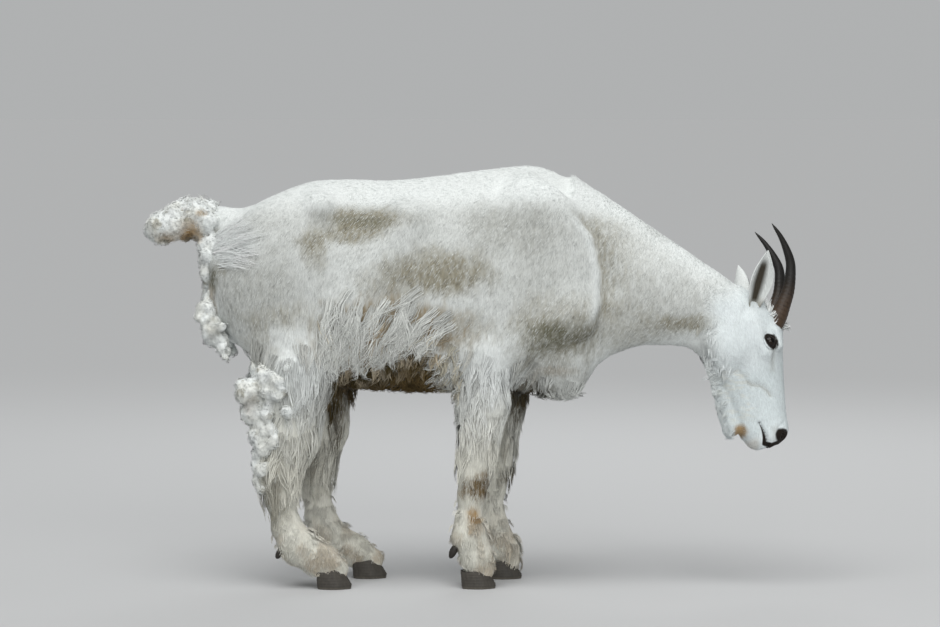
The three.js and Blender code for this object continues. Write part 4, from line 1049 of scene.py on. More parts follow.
def tubes(lines, outs, widths, thicks, lit, loose):
    """Solid strands along lines (N, K, 3): triangular rings that taper to the last point. Returns points,
    faces and the shading direction at each corner: the skin's own outside, so that the coat looks soft."""
    n, k, _ = lines.shape
    way = np.empty_like(lines)
    way[:, :-1] = lines[:, 1:] - lines[:, :-1]
    way[:, -1] = way[:, -2]
    side = unit(np.cross(outs, way))[:, :-1]
    up = outs[:, :-1]
    p = lines[:, :-1]
    w = np.broadcast_to(widths, (n, k - 1))[..., None] / 2
    t = np.broadcast_to(thicks, (n, k - 1))[..., None]
    rings = np.stack([p + side * w, p + up * t, p - side * w], 2).reshape(n, -1, 3)
    points = np.concatenate([rings, lines[:, -1:]], 1)
    soft = lit[:, :-1]
    outer = np.stack([soft + side * ROUND, soft, soft - side * ROUND], 2).reshape(n, -1, 3)
    outer = unit(np.concatenate([outer, lit[:, -1:]], 1))
    # Loose hair is as bright from below, since light comes through it
    back = lit if loose else -outs
    below = back[:, :-1]
    inner = np.stack([below + side * ROUND, below, below - side * ROUND], 2).reshape(n, -1, 3)
    inner = unit(np.concatenate([inner, back[:, -1:]], 1))
    faces, under = [(0, 2, 1)], [True]
    for j in range(k - 2):
        for a in range(3):
            b = (a + 1) % 3
            faces += [(3 * j + a, 3 * j + b, 3 * j + 3 + b), (3 * j + a, 3 * j + 3 + b, 3 * j + 3 + a)]
            under += [a == 2] * 2
    last = 3 * (k - 2)
    faces += [(last + a, last + (a + 1) % 3, last + 3) for a in range(3)]
    under += [a == 2 for a in range(3)]
    faces = np.array(faces)
    normals = np.where(np.array(under)[:, None, None], inner[:, faces], outer[:, faces])
    every = (faces[None] + (np.arange(n) * points.shape[1])[:, None, None]).reshape(-1, 3)
    return points, every, normals.reshape(-1, 3)


# Most triangles of one piece of coat, and half the width of a strand's place in the unwrap
MOST_FACES = 190000
PATCH = 0.0015


def add_coat(name, lines, outs, widths, thicks, roots, colours, lit=None, loose=False):
    """Coat pieces from strands. colours is (N, K, 3), along each strand, and lit turns their shading."""
    lit = outs if lit is None else lit
    k = lines.shape[1]
    size = MOST_FACES // (6 * (k - 2) + 4)
    uv_root = unwrap(roots)
    ring = np.array([i // 3 for i in range(3 * (k - 1))] + [k - 1])
    across = np.array([[-1, 0, 1][i % 3] for i in range(3 * (k - 1))] + [0]) * PATCH
    spread = np.stack([across, ring / (k - 1) * 2 * PATCH - PATCH], 1)
    for number, start in enumerate(range(0, len(lines), size)):
        part = slice(start, start + size)
        points, faces, normals = tubes(lines[part], outs[part], widths[part], thicks[part], lit[part], loose)
        points[..., 2] = np.maximum(points[..., 2], FLOOR_CLEAR)
        uvs = (uv_root[part][:, None] + spread[None]).reshape(-1, 2)
        tint = colours[part][:, ring].reshape(-1, 3)
        obj = make_object(f"{name}_{number + 1}", points.reshape(-1, 3), faces, TUFT_LOOK, tint, uvs, normals)


def scatter(points, faces, count, weight, rng):
    """Random places on the skin, as many per area as weight says, with the triangle each lies on."""
    a, b, c = (points[faces[:, i]] for i in range(3))
    area = np.linalg.norm(np.cross(b - a, c - a), axis=1) / 2
    share = area * weight((a + b + c) / 3)
    share = share / share.sum()
    pick = np.sort(rng.choice(len(faces), count, p=share))
    u, v = rng.random(count), rng.random(count)
    over = u + v > 1
    u[over], v[over] = 1 - u[over], 1 - v[over]
    return a[pick] + u[:, None] * (b - a)[pick] + v[:, None] * (c - a)[pick], pick


def coat_places(points, faces, normals, count, weight, rng):
    """Random places and the outward directions there."""
    places, pick = scatter(points, faces, count, weight, rng)
    return places, unit(normals[faces[pick]].mean(1))


def point_normals(points, faces):
    n = np.cross(points[faces[:, 1]] - points[faces[:, 0]], points[faces[:, 2]] - points[faces[:, 0]])
    total = np.zeros_like(points)
    for i in range(3):
        for axis in range(3):
            total[:, axis] += np.bincount(faces[:, i], n[:, axis], len(points))
    return unit(total)


def nap(name, places, out, length, width, stand, rng, sink=1.2):
    """Short tufts that lie along the skin."""
    n = len(places)
    way = lie(places, out)
    side = np.cross(out, way)
    way = unit(way + side * rng.normal(0, 0.08, (n, 1)))
    size = (length * rng.uniform(0.7, 1.25, n))[:, None]
    lift = (stand * rng.uniform(0.3, 1.15, n))[:, None]
    lines = np.stack([places - out * sink, places + way * size + out * lift], 1)
    outs = np.stack([out, out], 1)
    wide = (width * rng.uniform(0.7, 1.2, n))[:, None]
    base = markings(places)
    # Single hairs differ most where the coat is thin and dark skin shows between them
    thin = 1 - np.clip(base.mean(1, keepdims=True) / SNOW.mean(), 0, 1)
    pick = rng.uniform(-1, 1, (n, 1))
    base = mix(base, SNOW, np.clip(pick, 0, 1) * 0.75 * smooth(0.0, 0.5, thin))
    base = base * (1 + np.minimum(pick, 0) * (0.12 + 0.55 * thin)) * rng.uniform(0.93, 1.03, (n, 1))
    # Painted shade at each tuft's root and painted light at its tip
    colours = np.stack([base * 0.92, np.minimum(base * 1.04, BRIGHTEST)], 1)
    add_coat(name, lines, outs, wide, wide * 0.4, places, colours)


def guides(roots, run, length, rise, sag, bend, steps, sink, shape, hold):
    """Curves that start under the skin, follow it as closely as hold says and hang from it. Returns points
    and outward directions."""
    p = roots.copy()
    way = unit(run)
    step = (length / steps)[:, None]
    line, outs = [], []
    for i in range(steps + 1):
        o = unit(gradient(p, shape))
        way = way + vec(0, 0, -1) * sag[:, None] + np.cross(o, way) * bend[:, None]
        flat = dot(way, o)[:, None]
        way = unit(way - o * flat * hold)
        level = -sink - 3 if i == 0 else mix(-1.5, rise, (i - 1) / (steps - 1))
        off = shape(p) - level
        push = np.where((off < 0) | (i == 0), -off, -np.minimum(off, step[:, 0] * 0.28 * hold))
        p = p + o * push[:, None]
        line.append(p)
        outs.append(o)
        p = p + way * step
    return np.stack(line, 1), np.stack(outs, 1)


def open_light(p, out):
    """Shading directions of loose hair: turned less to the ground than the skin and more to the side."""
    level = out * np.where(out[..., 2:] < 0, vec(1, 1, 0.35), 1.0)
    return unit(level + np.sign(p[..., 1:2]) * vec(0, 0.45, 0) + vec(0, 0, 0.15))


def hair(name, roots, run, length, rng, strands, spread, width, rise, wave, sag=0.14, pinch=0.75, steps=4,
         tint=None, sink=5.0, dark_root=0.8, shape=goat, turns=1.2, contrast=0.2, hold=0.9, loose=False):
    """Locks of long hair: each is a bundle of strands that draws together towards its tip."""
    n = len(roots)
    rise = np.broadcast_to(rise, n) * rng.uniform(0.6, 1.2, n)
    lines, outs = guides(roots, run, length, rise, sag * rng.uniform(0.6, 1.4, n), rng.normal(0, 0.07, n),
                         steps, sink, shape, hold)
    k = steps + 1
    side = unit(np.cross(outs, np.gradient(lines, axis=1)))
    t = np.linspace(0, 1, k)
    total = n * strands
    bundle = np.repeat(np.arange(n), strands)
    offset = rng.normal(0, 0.5, total)[:, None]
    height = np.abs(rng.normal(0, 0.30, total))[:, None]
    narrow = 1 - pinch * t ** 1.3
    phase = rng.uniform(0, 2 * np.pi, (total, 1))
    lock_phase = np.repeat(rng.uniform(0, 2 * np.pi, n), strands)[:, None]
    swing = 0.7 * np.sin(lock_phase + t * 2 * np.pi * turns)
    swing = swing + 0.45 * np.sin(phase + t * 2 * np.pi * turns * 1.6)
    aside = spread * offset * narrow + wave * t * swing
    lift = spread * 0.5 * height * narrow * smooth(0, 0.3, t) + 0.4 * wave * t * np.cos(phase + t * 7)
    keep = rng.uniform(0.62, 1.08, total)
    # Shorter strands stop sooner along the lock's own curve
    at = np.clip(keep[:, None] * t * (k - 1), 0, k - 1)
    before = np.minimum(at.astype(int), k - 2)
    f = (at - before)[..., None]
    rows = bundle[:, None]
    centre, s, o = (mix(a[rows, before], a[rows, before + 1], f) for a in (lines, side, outs))
    o = unit(o)
    curve = centre + s * aside[..., None] + o * lift[..., None]
    taper = np.array([0.45, *np.interp(t[1:-1], [0, 0.5, 1], [1.0, 0.85, 0.25])])
    wide = width * rng.uniform(0.7, 1.25, (total, 1)) * taper
    base = markings(roots) if tint is None else tint
    lock_shade = rng.uniform(1 - contrast * 0.7, 1.06, (n, 1))
    base = (base * lock_shade)[bundle] * rng.uniform(1 - contrast, 1.07, (total, 1))
    # Painted shade darkens each strand towards its root and painted light brightens its tip
    root_shade_tip_light = np.interp(t, [0, 0.35, 1], [dark_root, 0.96, 1.06])
    colours = np.minimum(base[:, None] * root_shade_tip_light[:, None], BRIGHTEST)
    add_coat(name, curve, o, wide, wide * 0.38, roots[bundle], colours, open_light(curve, o), loose)


# Where long hair grows: share of each kind at a place on the skin

def outer_side(p):
    return smooth(20, 70, np.abs(p[:, 1]))


SHED_PLACES = [-320, -240, -190, -150, -90, -20]
SHED_HEIGHTS = [482, 492, 512, 532, 540, 552]


def shed_edge(x):
    """Height at which the white locks of the flank end."""
    return np.interp(x, SHED_PLACES, SHED_HEIGHTS) + 9 * np.sin(x / 12) + 7 * np.sin(x / 27)


def flank_hair(p):
    top = 702 - 0.12 * np.maximum(p[:, 0] + 120, 0) + 12 * np.sin(p[:, 0] / 27)
    low = shed_edge(p[:, 0]) + 30
    grown = smooth(top, top - 40, p[:, 2]) * smooth(low, low + 16, p[:, 2])
    return band(p[:, 0], -325, -36, 14) * grown * outer_side(p)


def belly_wool(p):
    edge = shed_edge(p[:, 0])
    return band(p[:, 0], -322, -20, 14) * smooth(edge + 30, edge + 10, p[:, 2]) * smooth(425, 440, p[:, 2])


def thigh_hair(p):
    high = 590 + 22 * np.sin(p[:, 0] / 21)
    grown = smooth(high, high - 50, p[:, 2]) * smooth(235, 300, p[:, 2])
    return band(p[:, 0], -560, -300, 14) * grown * outer_side(p)


def forearm_hair(p):
    return band(p[:, 0], -70, 150, 12) * smooth(600, 480, p[:, 2]) * smooth(290, 335, p[:, 2]) * outer_side(p)


def shank_hair(p):
    return smooth(290, 240, p[:, 2]) * smooth(70, 95, p[:, 2]) * behind_head(p)


def pastern_hair(p):
    return smooth(125, 100, p[:, 2]) * smooth(30, 44, p[:, 2]) * behind_head(p)


def coronet_hair(p):
    return band(p[:, 2], 50, 80, 6) * behind_head(p)


def hind_rear(p):
    """The woolly rear edge of the hind legs."""
    total = 0 * p[:, 0]
    for name in ("hindleg_right", "hindleg_left"):
        spec = LEGS[name]
        centre = leg_middle(spec, p[:, 2])
        mine = p[:, 1] * spec["side"] > 20
        behind = smooth(8, 34, centre[:, 0] - p[:, 0])
        total = total + mine * behind * band(p[:, 2], 236, 505, 20)
    return total


def brisket_hair(p):
    return band(p[:, 0], 96, 262, 12) * smooth(500, 470, p[:, 2])


def tail_hair(p):
    return smooth(-560, -610, p[:, 0]) * smooth(820, 850, p[:, 2])


def under_tail(p):
    """The rump below the tail, where wool covers the skin."""
    return smooth(-540, -575, p[:, 0]) * band(p[:, 2], 560, 780, 15) * (1 - smooth(40, 62, np.abs(p[:, 1])))


def rump_fan(p):
    return ball(p, (-576, 50, 768), (22, 60, 22), 0.3)


def jaw_hair(p):
    q = in_head(p)
    edge = q[:, 2] + 0.05 * (q[:, 0] - 118)
    more = 1 + 2 * smooth(190, 240, q[:, 0])
    return band(q[:, 0], 118, 290, 10) * smooth(-86, -102, edge) * smooth(540, 580, p[:, 0]) * more


def jaw_run(p):
    """The jaw's hair points down and back, and hangs as a short beard before the chin."""
    beard = smooth(190, 240, in_head(p)[:, 0])[:, None]
    return mix(-HEAD_H - 0.2 * HEAD_S, -HEAD_H + 0.55 * HEAD_S, beard)


def throat_hair(p):
    q = in_head(p)
    return band(q[:, 0], 20, 150, 20) * smooth(-60, -90, q[:, 2]) * smooth(520, 550, p[:, 0])


def long_share(p):
    """How much of the skin longer hair or wool covers."""
    kinds = (flank_hair, belly_wool, thigh_hair, forearm_hair, brisket_hair, tail_hair, under_tail)
    return np.clip(sum(kind(p) for kind in kinds), 0, 1)


def grow(name, skin, kind, count, run, length, seed, more_run=0.25, reach=None, tint=None, **look):
    """Long hair of one kind all over where it grows. run is its general way before it is laid on the skin,
    and reach says how far down its tips come."""
    rng = np.random.default_rng(seed)
    places, out = coat_places(*skin, count, kind, rng)
    n = len(places)
    if callable(run):
        way = run(places)
    else:
        way = lie(places, out) if run is None else np.tile(vec(*run), (n, 1))
    way = way + rng.normal(0, more_run, (n, 3)) * vec(0.6, 0.3, 0.4)
    size = rng.uniform(*length, n)
    if reach is not None:
        drop = (places[:, 2] - reach(places[:, 0])) / np.maximum(-unit(way)[:, 2], 0.5)
        size = np.clip(drop * rng.uniform(0.8, 1.2, n), *length)
    hair(name, places, way, size, rng, tint=None if tint is None else tint(places), **look)


def flank_run(p):
    """The flank's locks sweep back the more the nearer they are to the elbow."""
    lean = np.interp(p[:, 0], [-320, -240, -150, -50], [0.05, 0.30, 0.75, 1.25])
    return np.stack([-lean, 0 * lean, -1 + 0 * lean], 1)


def lock_white(p):
    """The white of loose outer locks, over whatever shade the skin has."""
    return mix(markings(p), mix(SNOW, CREAM, 0.2), 0.95)


def bright(p):
    """Plain white, as the fan of the rump has."""
    return np.tile(SNOW, (len(p), 1))


def under_lock(p):
    """The tan and brown under the white locks of the flank: partly the coat's own under-layer and partly
    painted shade in the gaps between the locks.
    """
    return tinted(mix(CREAM, TAN, 0.25), mix(TAN, BROWN, 0.2), smooth(0.4, 0.8, noise(p, 16, 33)))


def flank_low(p):
    return flank_hair(p) * smooth(640, 600, p[:, 2])


def brisket_front(p):
    return band(p[:, 0], 150, 240, 10) * smooth(470, 450, p[:, 2])


def elbow_hair(p):
    """The fringe that stands out behind the forearm."""
    return band(p[:, 0], -60, -14, 10) * band(p[:, 2], 390, 545, 12) * outer_side(p)


def belly_tint(p):
    """Cream and brown mixed near the shedding edge, and olive brown below, darker towards the bottom in part
    by painted shade.
    """
    down = smooth(0, 45, shed_edge(p[:, 0]) - p[:, 2] + 26 * (noise(p, 17, 31) - 0.5))
    mixed = tinted(mix(CREAM, TAN, 0.5), BROWN, smooth(0.3, 0.65, noise(p, 13, 32)))
    # Partly painted shade: darker olive brown further below the shedding edge
    mixed = tinted(mixed, mix(BROWN, TAN, 0.22), down)
    return tinted(mixed, CREAM, 0.85 * smooth(-82, -48, p[:, 0]))


# Loose white tufts of the head: place (s, h, w), way (s, h, w) and length
HEAD_TUFTS = [
    ((66, 94, 22), (0.0, 1.0, 0.2), 26), ((74, 91, 28), (0.35, 1.0, 0.3), 24),
    ((46, 74, 30), (-0.9, 0.7, 0.1), 26), ((38, 62, 40), (-0.9, 0.4, 0.3), 24),
    ((56, 66, 42), (-0.5, 0.5, 0.5), 16), ((30, 52, 16), (-0.9, 0.6, 0.0), 24),
]


def head_tufts():
    rng = np.random.default_rng(25)
    roots, ways, lengths = [], [], []
    for side in (RIGHT, LEFT):
        for (s, h, w), (ds, dh, dw), length in HEAD_TUFTS:
            for _ in range(9):
                a, b, c = rng.normal(0, 1, 3)
                roots.append(head_point(s + 5 * a, h + 4 * b, (w + 4 * c) * side))
                ways.append(head_point(ds + 0.15 * b, dh + 0.15 * c, (dw + 0.2 * a) * side) - POLL)
                lengths.append(length * rng.uniform(0.7, 1.15))
    roots = settle(np.array(roots), skin_level, most=30)
    hair("coat_head_tufts", roots, np.array(ways), np.array(lengths), rng, strands=13, spread=9, width=2.3,
         rise=10, wave=2.5, sag=0.02, sink=3.0, dark_root=1.0, hold=0.15, contrast=0.1, loose=True,
         shape=whole, tint=bright(roots))


# Wool: soft lumps grown together over the skin, with short curls all over them

# Width of its grid's cells and of the fillets between lumps, depth under the skin, and the distance far off
WOOL_GRID = 3.5
WOOL_BLEND = 12.0
WOOL_UNDER = 9.0
WOOL_FAR = 40.0


def wool_field(centres, radii, low, counts):
    """Soft union of balls on a grid, ruffled and cut off a little way under the skin."""
    field = np.full(counts, WOOL_FAR)
    for centre, radius in zip(centres, radii):
        margin = radius + 14
        first = np.maximum(np.floor((centre - margin - low) / WOOL_GRID).astype(int), 0)
        last = np.minimum(np.ceil((centre + margin - low) / WOOL_GRID).astype(int) + 1, counts)
        x, y, z = (low[k] + np.arange(first[k], last[k]) * WOOL_GRID - centre[k] for k in range(3))
        d = np.sqrt(x[:, None, None] ** 2 + y[None, :, None] ** 2 + z[None, None, :] ** 2) - radius
        box = tuple(slice(a, b) for a, b in zip(first, last))
        field[box] = join(field[box], d, WOOL_BLEND)
    near = field < 3 * WOOL_GRID
    spots = low + np.argwhere(near) * WOOL_GRID
    ruffle = (noise(spots, 8, 41) - 0.5) * 4.0 + (noise(spots, 19, 42) - 0.5) * 6.0
    field[near] = np.maximum(field[near] + ruffle, -in_parts(goat, spots) - WOOL_UNDER)
    return field


def crease_depth(points, faces, normals):
    """How far each point lies below the mean of its neighbours."""
    a, b = faces.ravel(), np.roll(faces, -1, 1).ravel()
    count = np.maximum(np.bincount(a, minlength=len(points)), 1)
    mean = np.stack([np.bincount(a, points[b, k], len(points)) for k in range(3)], 1) / count[:, None]
    return dot(mean - points, normals)


# Stains of the wool: middle (x, y to either side, z), radii, colour and strength
WOOL_STAINS = [
    ((-668, 20, 798), (48, 60, 16), TAN, 0.7),
    ((-640, 20, 816), (24, 60, 26), TAN, 0.85),
    ((-640, 30, 796), (14, 40, 10), BROWN, 0.9),
    ((-617, 34, 856), (14, 30, 7), TAN, 0.8),
    ((-584, 62, 596), (18, 50, 30), BEIGE, 0.6),
    ((-500, 124, 428), (16, 24, 30), TAN, 0.35),
]


def wool_tint(points, crease):
    colours = tinted(SNOW, CREAM, smooth(0.35, 0.8, noise(points, 26, 43)) * 0.25)
    for centre, radii, tint, strength in WOOL_STAINS:
        share = strength * ball(points, centre, radii, 0.6) * (0.4 + 0.9 * noise(points, 14, 44))
        colours = tinted(colours, tint, share)
    specks = smooth(0.64, 0.80, noise(points, 12, 45)) * smooth(0.4, 0.7, noise(points, 50, 46))
    colours = tinted(colours, BEIGE, 0.75 * specks)
    # Painted shade: darker and browner where the wool lies in a crease between lumps
    return tinted(colours, mix(BEIGE, TAN, 0.5), 0.55 * smooth(0.35, 1.2, crease))


def curls(name, mass, count, seed):
    """Short curls that lie on the wool and stand a little out of it."""
    rng = np.random.default_rng(seed)
    points, faces, normals, tints = mass
    places, pick = scatter(points, faces, count, lambda p: smooth(-3, 0, in_parts(goat, p)) + 0.001, rng)
    out = unit(normals[faces[pick]].mean(1))
    way = unit(np.cross(out, rng.normal(0, 1, (count, 3))))
    other = np.cross(out, way)
    t = np.linspace(0, 1, 4)
    turn = (rng.uniform(0.7, 1.6, (count, 1)) * np.pi * t[None])[..., None]
    coil = rng.uniform(3.5, 9.0, (count, 1, 1))
    lift = rng.uniform(1.0, 5.0, (count, 1, 1)) * np.sin(0.8 * np.pi * t)[:, None]
    circle = np.sin(turn) * way[:, None] + 0.6 * (1 - np.cos(turn)) * other[:, None]
    curve = (places - out * 1.4)[:, None] + coil * circle + lift * out[:, None]
    wide = rng.uniform(1.1, 2.2, (count, 1)) * np.array([0.8, 1.0, 0.7])
    base = tints[faces[pick]].mean(1) * rng.uniform(0.94, 1.06, (count, 1))
    # Painted shade at each curl's root and painted light at its tip
    colours = np.minimum(base[:, None] * np.interp(t, [0, 1], [0.92, 1.05])[:, None], BRIGHTEST)
    add_coat(name, curve, np.repeat(out[:, None], len(t), 1), wide, wide * 0.5, places, colours, loose=True)


# Wool clumps as (x, y to either side, z, radius)
CLUMPS = [(-512, 110, 452, 36), (-500, 98, 400, 33), (-486, 104, 352, 28), (-478, 96, 306, 24)]
# The ragged wool of the rump's edge in the same way, and the tail's as (x, z, radius of its ring, radius)
RUMP_WOOL = [
    (-606, 50, 640, 12), (-602, 54, 618, 22), (-592, 60, 596, 24), (-580, 68, 574, 18), (-566, 74, 552, 14),
    (-552, 80, 530, 10),
]
TAIL_WOOL = [
    (-728, 819, 12, 12), (-712, 822, 22, 15), (-692, 832, 25, 16), (-668, 838, 28, 16), (-644, 842, 30, 17),
    (-618, 842, 32, 17), (-596, 838, 32, 14),
]


def wool(skin):
    """Clumps close together down the rear of the hind legs, on the rump and round the tail's root."""
    rng = np.random.default_rng(71)
    centres, radii = [], []

    def put(spot, radius):
        centres.append(spot)
        radii.append(radius)

    for side in (RIGHT, LEFT):
        for x, y, z, r in CLUMPS:
            shift = (500 - z) * 0.28 if side == LEFT and z < 500 else 0
            centre = vec(x + shift + 8, y * side, z)
            put(centre, r * 0.8)
            for _ in range(12):
                small = r * rng.uniform(0.3, 0.5)
                put(centre + unit(rng.normal(0, 1, 3)) * (r - small) * 0.95, small)
        for a, b in zip(RUMP_WOOL, RUMP_WOOL[1:]):
            for t in np.linspace(0, 1, 9, endpoint=False):
                x, y, z, r = mix(vec(*a), vec(*b), t)
                put(vec(x, y * side, z) + rng.normal(0, 0.45, 3) * r, r * rng.uniform(0.4, 0.65))
    spots, out = coat_places(*skin, 300, hind_rear, rng)
    for spot, way in zip(spots, out):
        radius = rng.uniform(9, 15)
        put(spot + way * radius * rng.uniform(-0.1, 0.4), radius)
    # Below the tail's root, and round it
    for z in np.linspace(782, 640, 60):
        reach = np.interp(z, [720, 782], [42, 26])
        size = np.interp(z, [640, 665, 700, 730], [14, 8, 9, 15])
        put(vec(-600 + rng.normal(0, 4), rng.uniform(-reach, reach), z), size * rng.uniform(0.8, 1.2))
    for _ in range(56):
        put(rng.uniform(vec(-606, -54, 752), vec(-582, 54, 802)), rng.uniform(10, 16))
    for x, z, spread, size in TAIL_WOOL:
        for turn in np.linspace(0, 2 * np.pi, 12, endpoint=False):
            radius = size * rng.uniform(0.75, 1.1)
            put(vec(x + rng.normal(0, 6), spread * math.cos(turn), z + spread * math.sin(turn)), radius)
    centres, radii = np.array(centres), np.array(radii)
    low = centres.min(0) - 50
    counts = np.ceil((centres.max(0) + 50 - low) / WOOL_GRID).astype(int) + 1
    points, faces = surface_net(wool_field(centres, radii, low, counts), low, WOOL_GRID)
    normals = point_normals(points, faces)
    tints = wool_tint(points, crease_depth(points, faces, normals))
    points = points + normals * ((noise(points, 5.5, 47) - 0.5) * 2.6)[:, None]
    normals = point_normals(points, faces)
    obj = make_object("wool_mass", points, faces, WOOL_LOOK, tints, unwrap(points))
    curls("wool_curls", (points, faces, normals, tints), 8500, 73)


# Horns, hooves, dewclaws and eyes

def catmull(points, count):
    """Evenly spaced places on a smooth curve through points."""
    points = np.asarray(points, float)
    ends = np.concatenate([[2 * points[0] - points[1]], points, [2 * points[-1] - points[-2]]])
    dense = []
    for a, b, c, d in zip(ends, ends[1:], ends[2:], ends[3:]):
        t = np.linspace(0, 1, 40, endpoint=False)[:, None]
        bend, twist = 2 * a - 5 * b + 4 * c - d, 3 * b - a - 3 * c + d
        dense.append(0.5 * (2 * b + (c - a) * t + bend * t ** 2 + twist * t ** 3))
    dense = np.concatenate(dense + [points[-1:]])
    length = np.concatenate([[0], np.cumsum(np.linalg.norm(np.diff(dense, axis=0), axis=1))])
    at = np.linspace(0, length[-1], count)
    return np.stack([np.interp(at, length, dense[:, k]) for k in range(3)], 1)


def lathe(centres, across, over, wide, high, turns):
    """A closed tube of rings with its own half widths, and its triangles."""
    angle = np.linspace(0, 2 * np.pi, turns, endpoint=False)
    rings = (
        centres[:, None]
        + (wide * np.cos(angle))[..., None] * across[:, None]
        + (high * np.sin(angle))[..., None] * over[:, None]
    )
    points = np.concatenate([rings.reshape(-1, 3), centres[:1], centres[-1:]])
    return points, ring_faces(len(centres), turns)


# A horn's middle line as (s, h, w), and at shares of its length the half widths across and along the head
HORN = [
    (82, 52, 23), (60, 75, 26), (36, 94.5, 28), (6, 116, 30), (-27, 130, 34),
    (-56, 137, 38), (-87, 134, 44), (-120, 125.5, 50), (-153, 111, 56),
]
HORN_SIZE = [
    [0, 19, 21], [0.1, 19, 21], [0.3, 14.5, 16], [0.5, 11.5, 12.5],
    [0.7, 8.5, 9.5], [0.85, 5.5, 6], [0.94, 3.2, 3.6], [1, 0.6, 0.6],
]
HORN_GROWTH = dict(first=0.10, last=0.52, rings=11, step=0.6)


def horn(side, material):
    """A curved cone with growth rings near its root and faint flutes."""
    count, turns = 150, 40
    centres = catmull([head_point(s, h, w * side) for s, h, w in HORN], count)
    u = np.linspace(0, 1, count)
    wide, high = along(HORN_SIZE, u).T
    forward = unit(np.gradient(centres, axis=0))
    across = unit(HEAD_W - forward * (forward @ HEAD_W)[:, None])
    over = np.cross(forward, across)
    growth = band(u, HORN_GROWTH["first"], HORN_GROWTH["last"], 0.04)
    saw = (u * HORN_GROWTH["rings"] / (HORN_GROWTH["last"] - HORN_GROWTH["first"])) % 1.0
    ridge = HORN_GROWTH["step"] * growth * (np.where(saw < 0.7, saw / 0.7, (1 - saw) / 0.3) - 0.4)
    angle = np.linspace(0, 2 * np.pi, turns, endpoint=False)
    flute = 0.22 * np.cos(angle * 13 + 1.0) * smooth(0.95, 0.6, u)[:, None]
    wide, high = ((half + ridge)[:, None] + flute for half in (wide, high))
    points, faces = lathe(centres, across, over, wide, high, turns)
    base = smooth(0.55, 0.12, u)
    colour = mix(vec(0.010, 0.009, 0.008), vec(0.055, 0.034, 0.020), base[:, None])
    colour = colour * (1 - 0.35 * growth * (saw > 0.75))[:, None]
    word = SIDE_NAMES[side]
    obj = make_object(f"horn_sheath_{word}", points, faces, material, ring_colours(colour, turns))
    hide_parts(f"horn_{word}")


def claw_name(outer, side):
    return "outer" if outer * side > 0 else "inner"


CLAW = dict(long=76, wide=31, cleft=2.5, high=48)


def claw(name, foot, outer, side, material):
    """One claw: outlines from the sole up, with growth rings and a worn edge."""
    turns, rows = 44, 26
    up = np.linspace(0, 1, rows)
    scale = np.interp(up, [0, 0.03, 0.15, 1], [0.97, 1.0, 1.03, 0.74])
    shift = np.interp(up, [0, 0.15, 1], [0, 0, -0.36]) * CLAW["long"] * 0.5
    wave = 0.35 * np.sin(up * 46) * band(up, 0.1, 0.9, 0.06)
    angle = np.linspace(0, 2 * np.pi, turns, endpoint=False)
    x = np.cos(angle)
    taper = np.where(x > 0, 1 - 0.45 * x * x, 1)
    half = CLAW["wide"] / 2
    px = foot[0] + x[None] * ((CLAW["long"] / 2) * scale + wave)[:, None] + shift[:, None]
    middle = outer * (half + CLAW["cleft"]) + np.where(x > 0, -outer * 6 * x * x, 0)[None] * scale[:, None]
    py = foot[1] + middle + np.sin(angle)[None] * taper[None] * (half * scale + wave)[:, None]
    pz = up[:, None] * CLAW["high"] - smooth(0.8, 1.0, up)[:, None] * ((0.5 - x * 0.5) * 14)[None]
    points = np.stack([px, py, pz], -1)
    flat = np.concatenate([points.reshape(-1, 3), [points[0].mean(0)], [points[-1].mean(0)]])
    worn = smooth(0.16, 0.0, up) * 0.5 + 0.25 * noise(points, 9, 12).mean(1)
    colour = mix(vec(0.040, 0.036, 0.031), vec(0.150, 0.135, 0.110), worn[:, None])
    word = claw_name(outer, side)
    colours = ring_colours(colour, turns)
    obj = make_object(f"claw_{name}_{word}", flat, ring_faces(rows, turns), material, colours)
    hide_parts(f"hoof_{name}_{word}")


DEWCLAW = dict(back=44, up=84, out=14, long=17, wide=8)


def dewclaw(name, spec, outer, material):
    """A small rounded horn behind the fetlock."""
    fetlock = spec["joints"][-3]
    rows, turns = 14, 20
    t = np.linspace(0, 1, rows)
    swell = np.sqrt(np.maximum(1 - (2 * t - 1) ** 2, 0.002))
    upright = unit(vec(math.sin(0.5), 0, math.cos(0.5)))
    centre = vec(fetlock[0] - DEWCLAW["back"] + 8, spec["foot"][1] + outer * DEWCLAW["out"], DEWCLAW["up"])
    centres = centre + ((2 * t - 1) * DEWCLAW["long"])[:, None] * upright
    across = np.tile(vec(0, 1, 0), (rows, 1))
    over = np.cross(upright, across)
    wide = (DEWCLAW["wide"] * swell + 0.25 * np.sin(t * 30))[:, None]
    points, faces = lathe(centres, across, over, wide, wide, turns)
    colours = vec(0.022, 0.019, 0.016) * (0.8 + 0.5 * noise(points, 6, 13))[:, None]
    word = claw_name(outer, spec["side"])
    obj = make_object(f"dewclaw_horn_{name}_{word}", points, faces, material, colours)
    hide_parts(f"dewclaw_{name}_{word}")


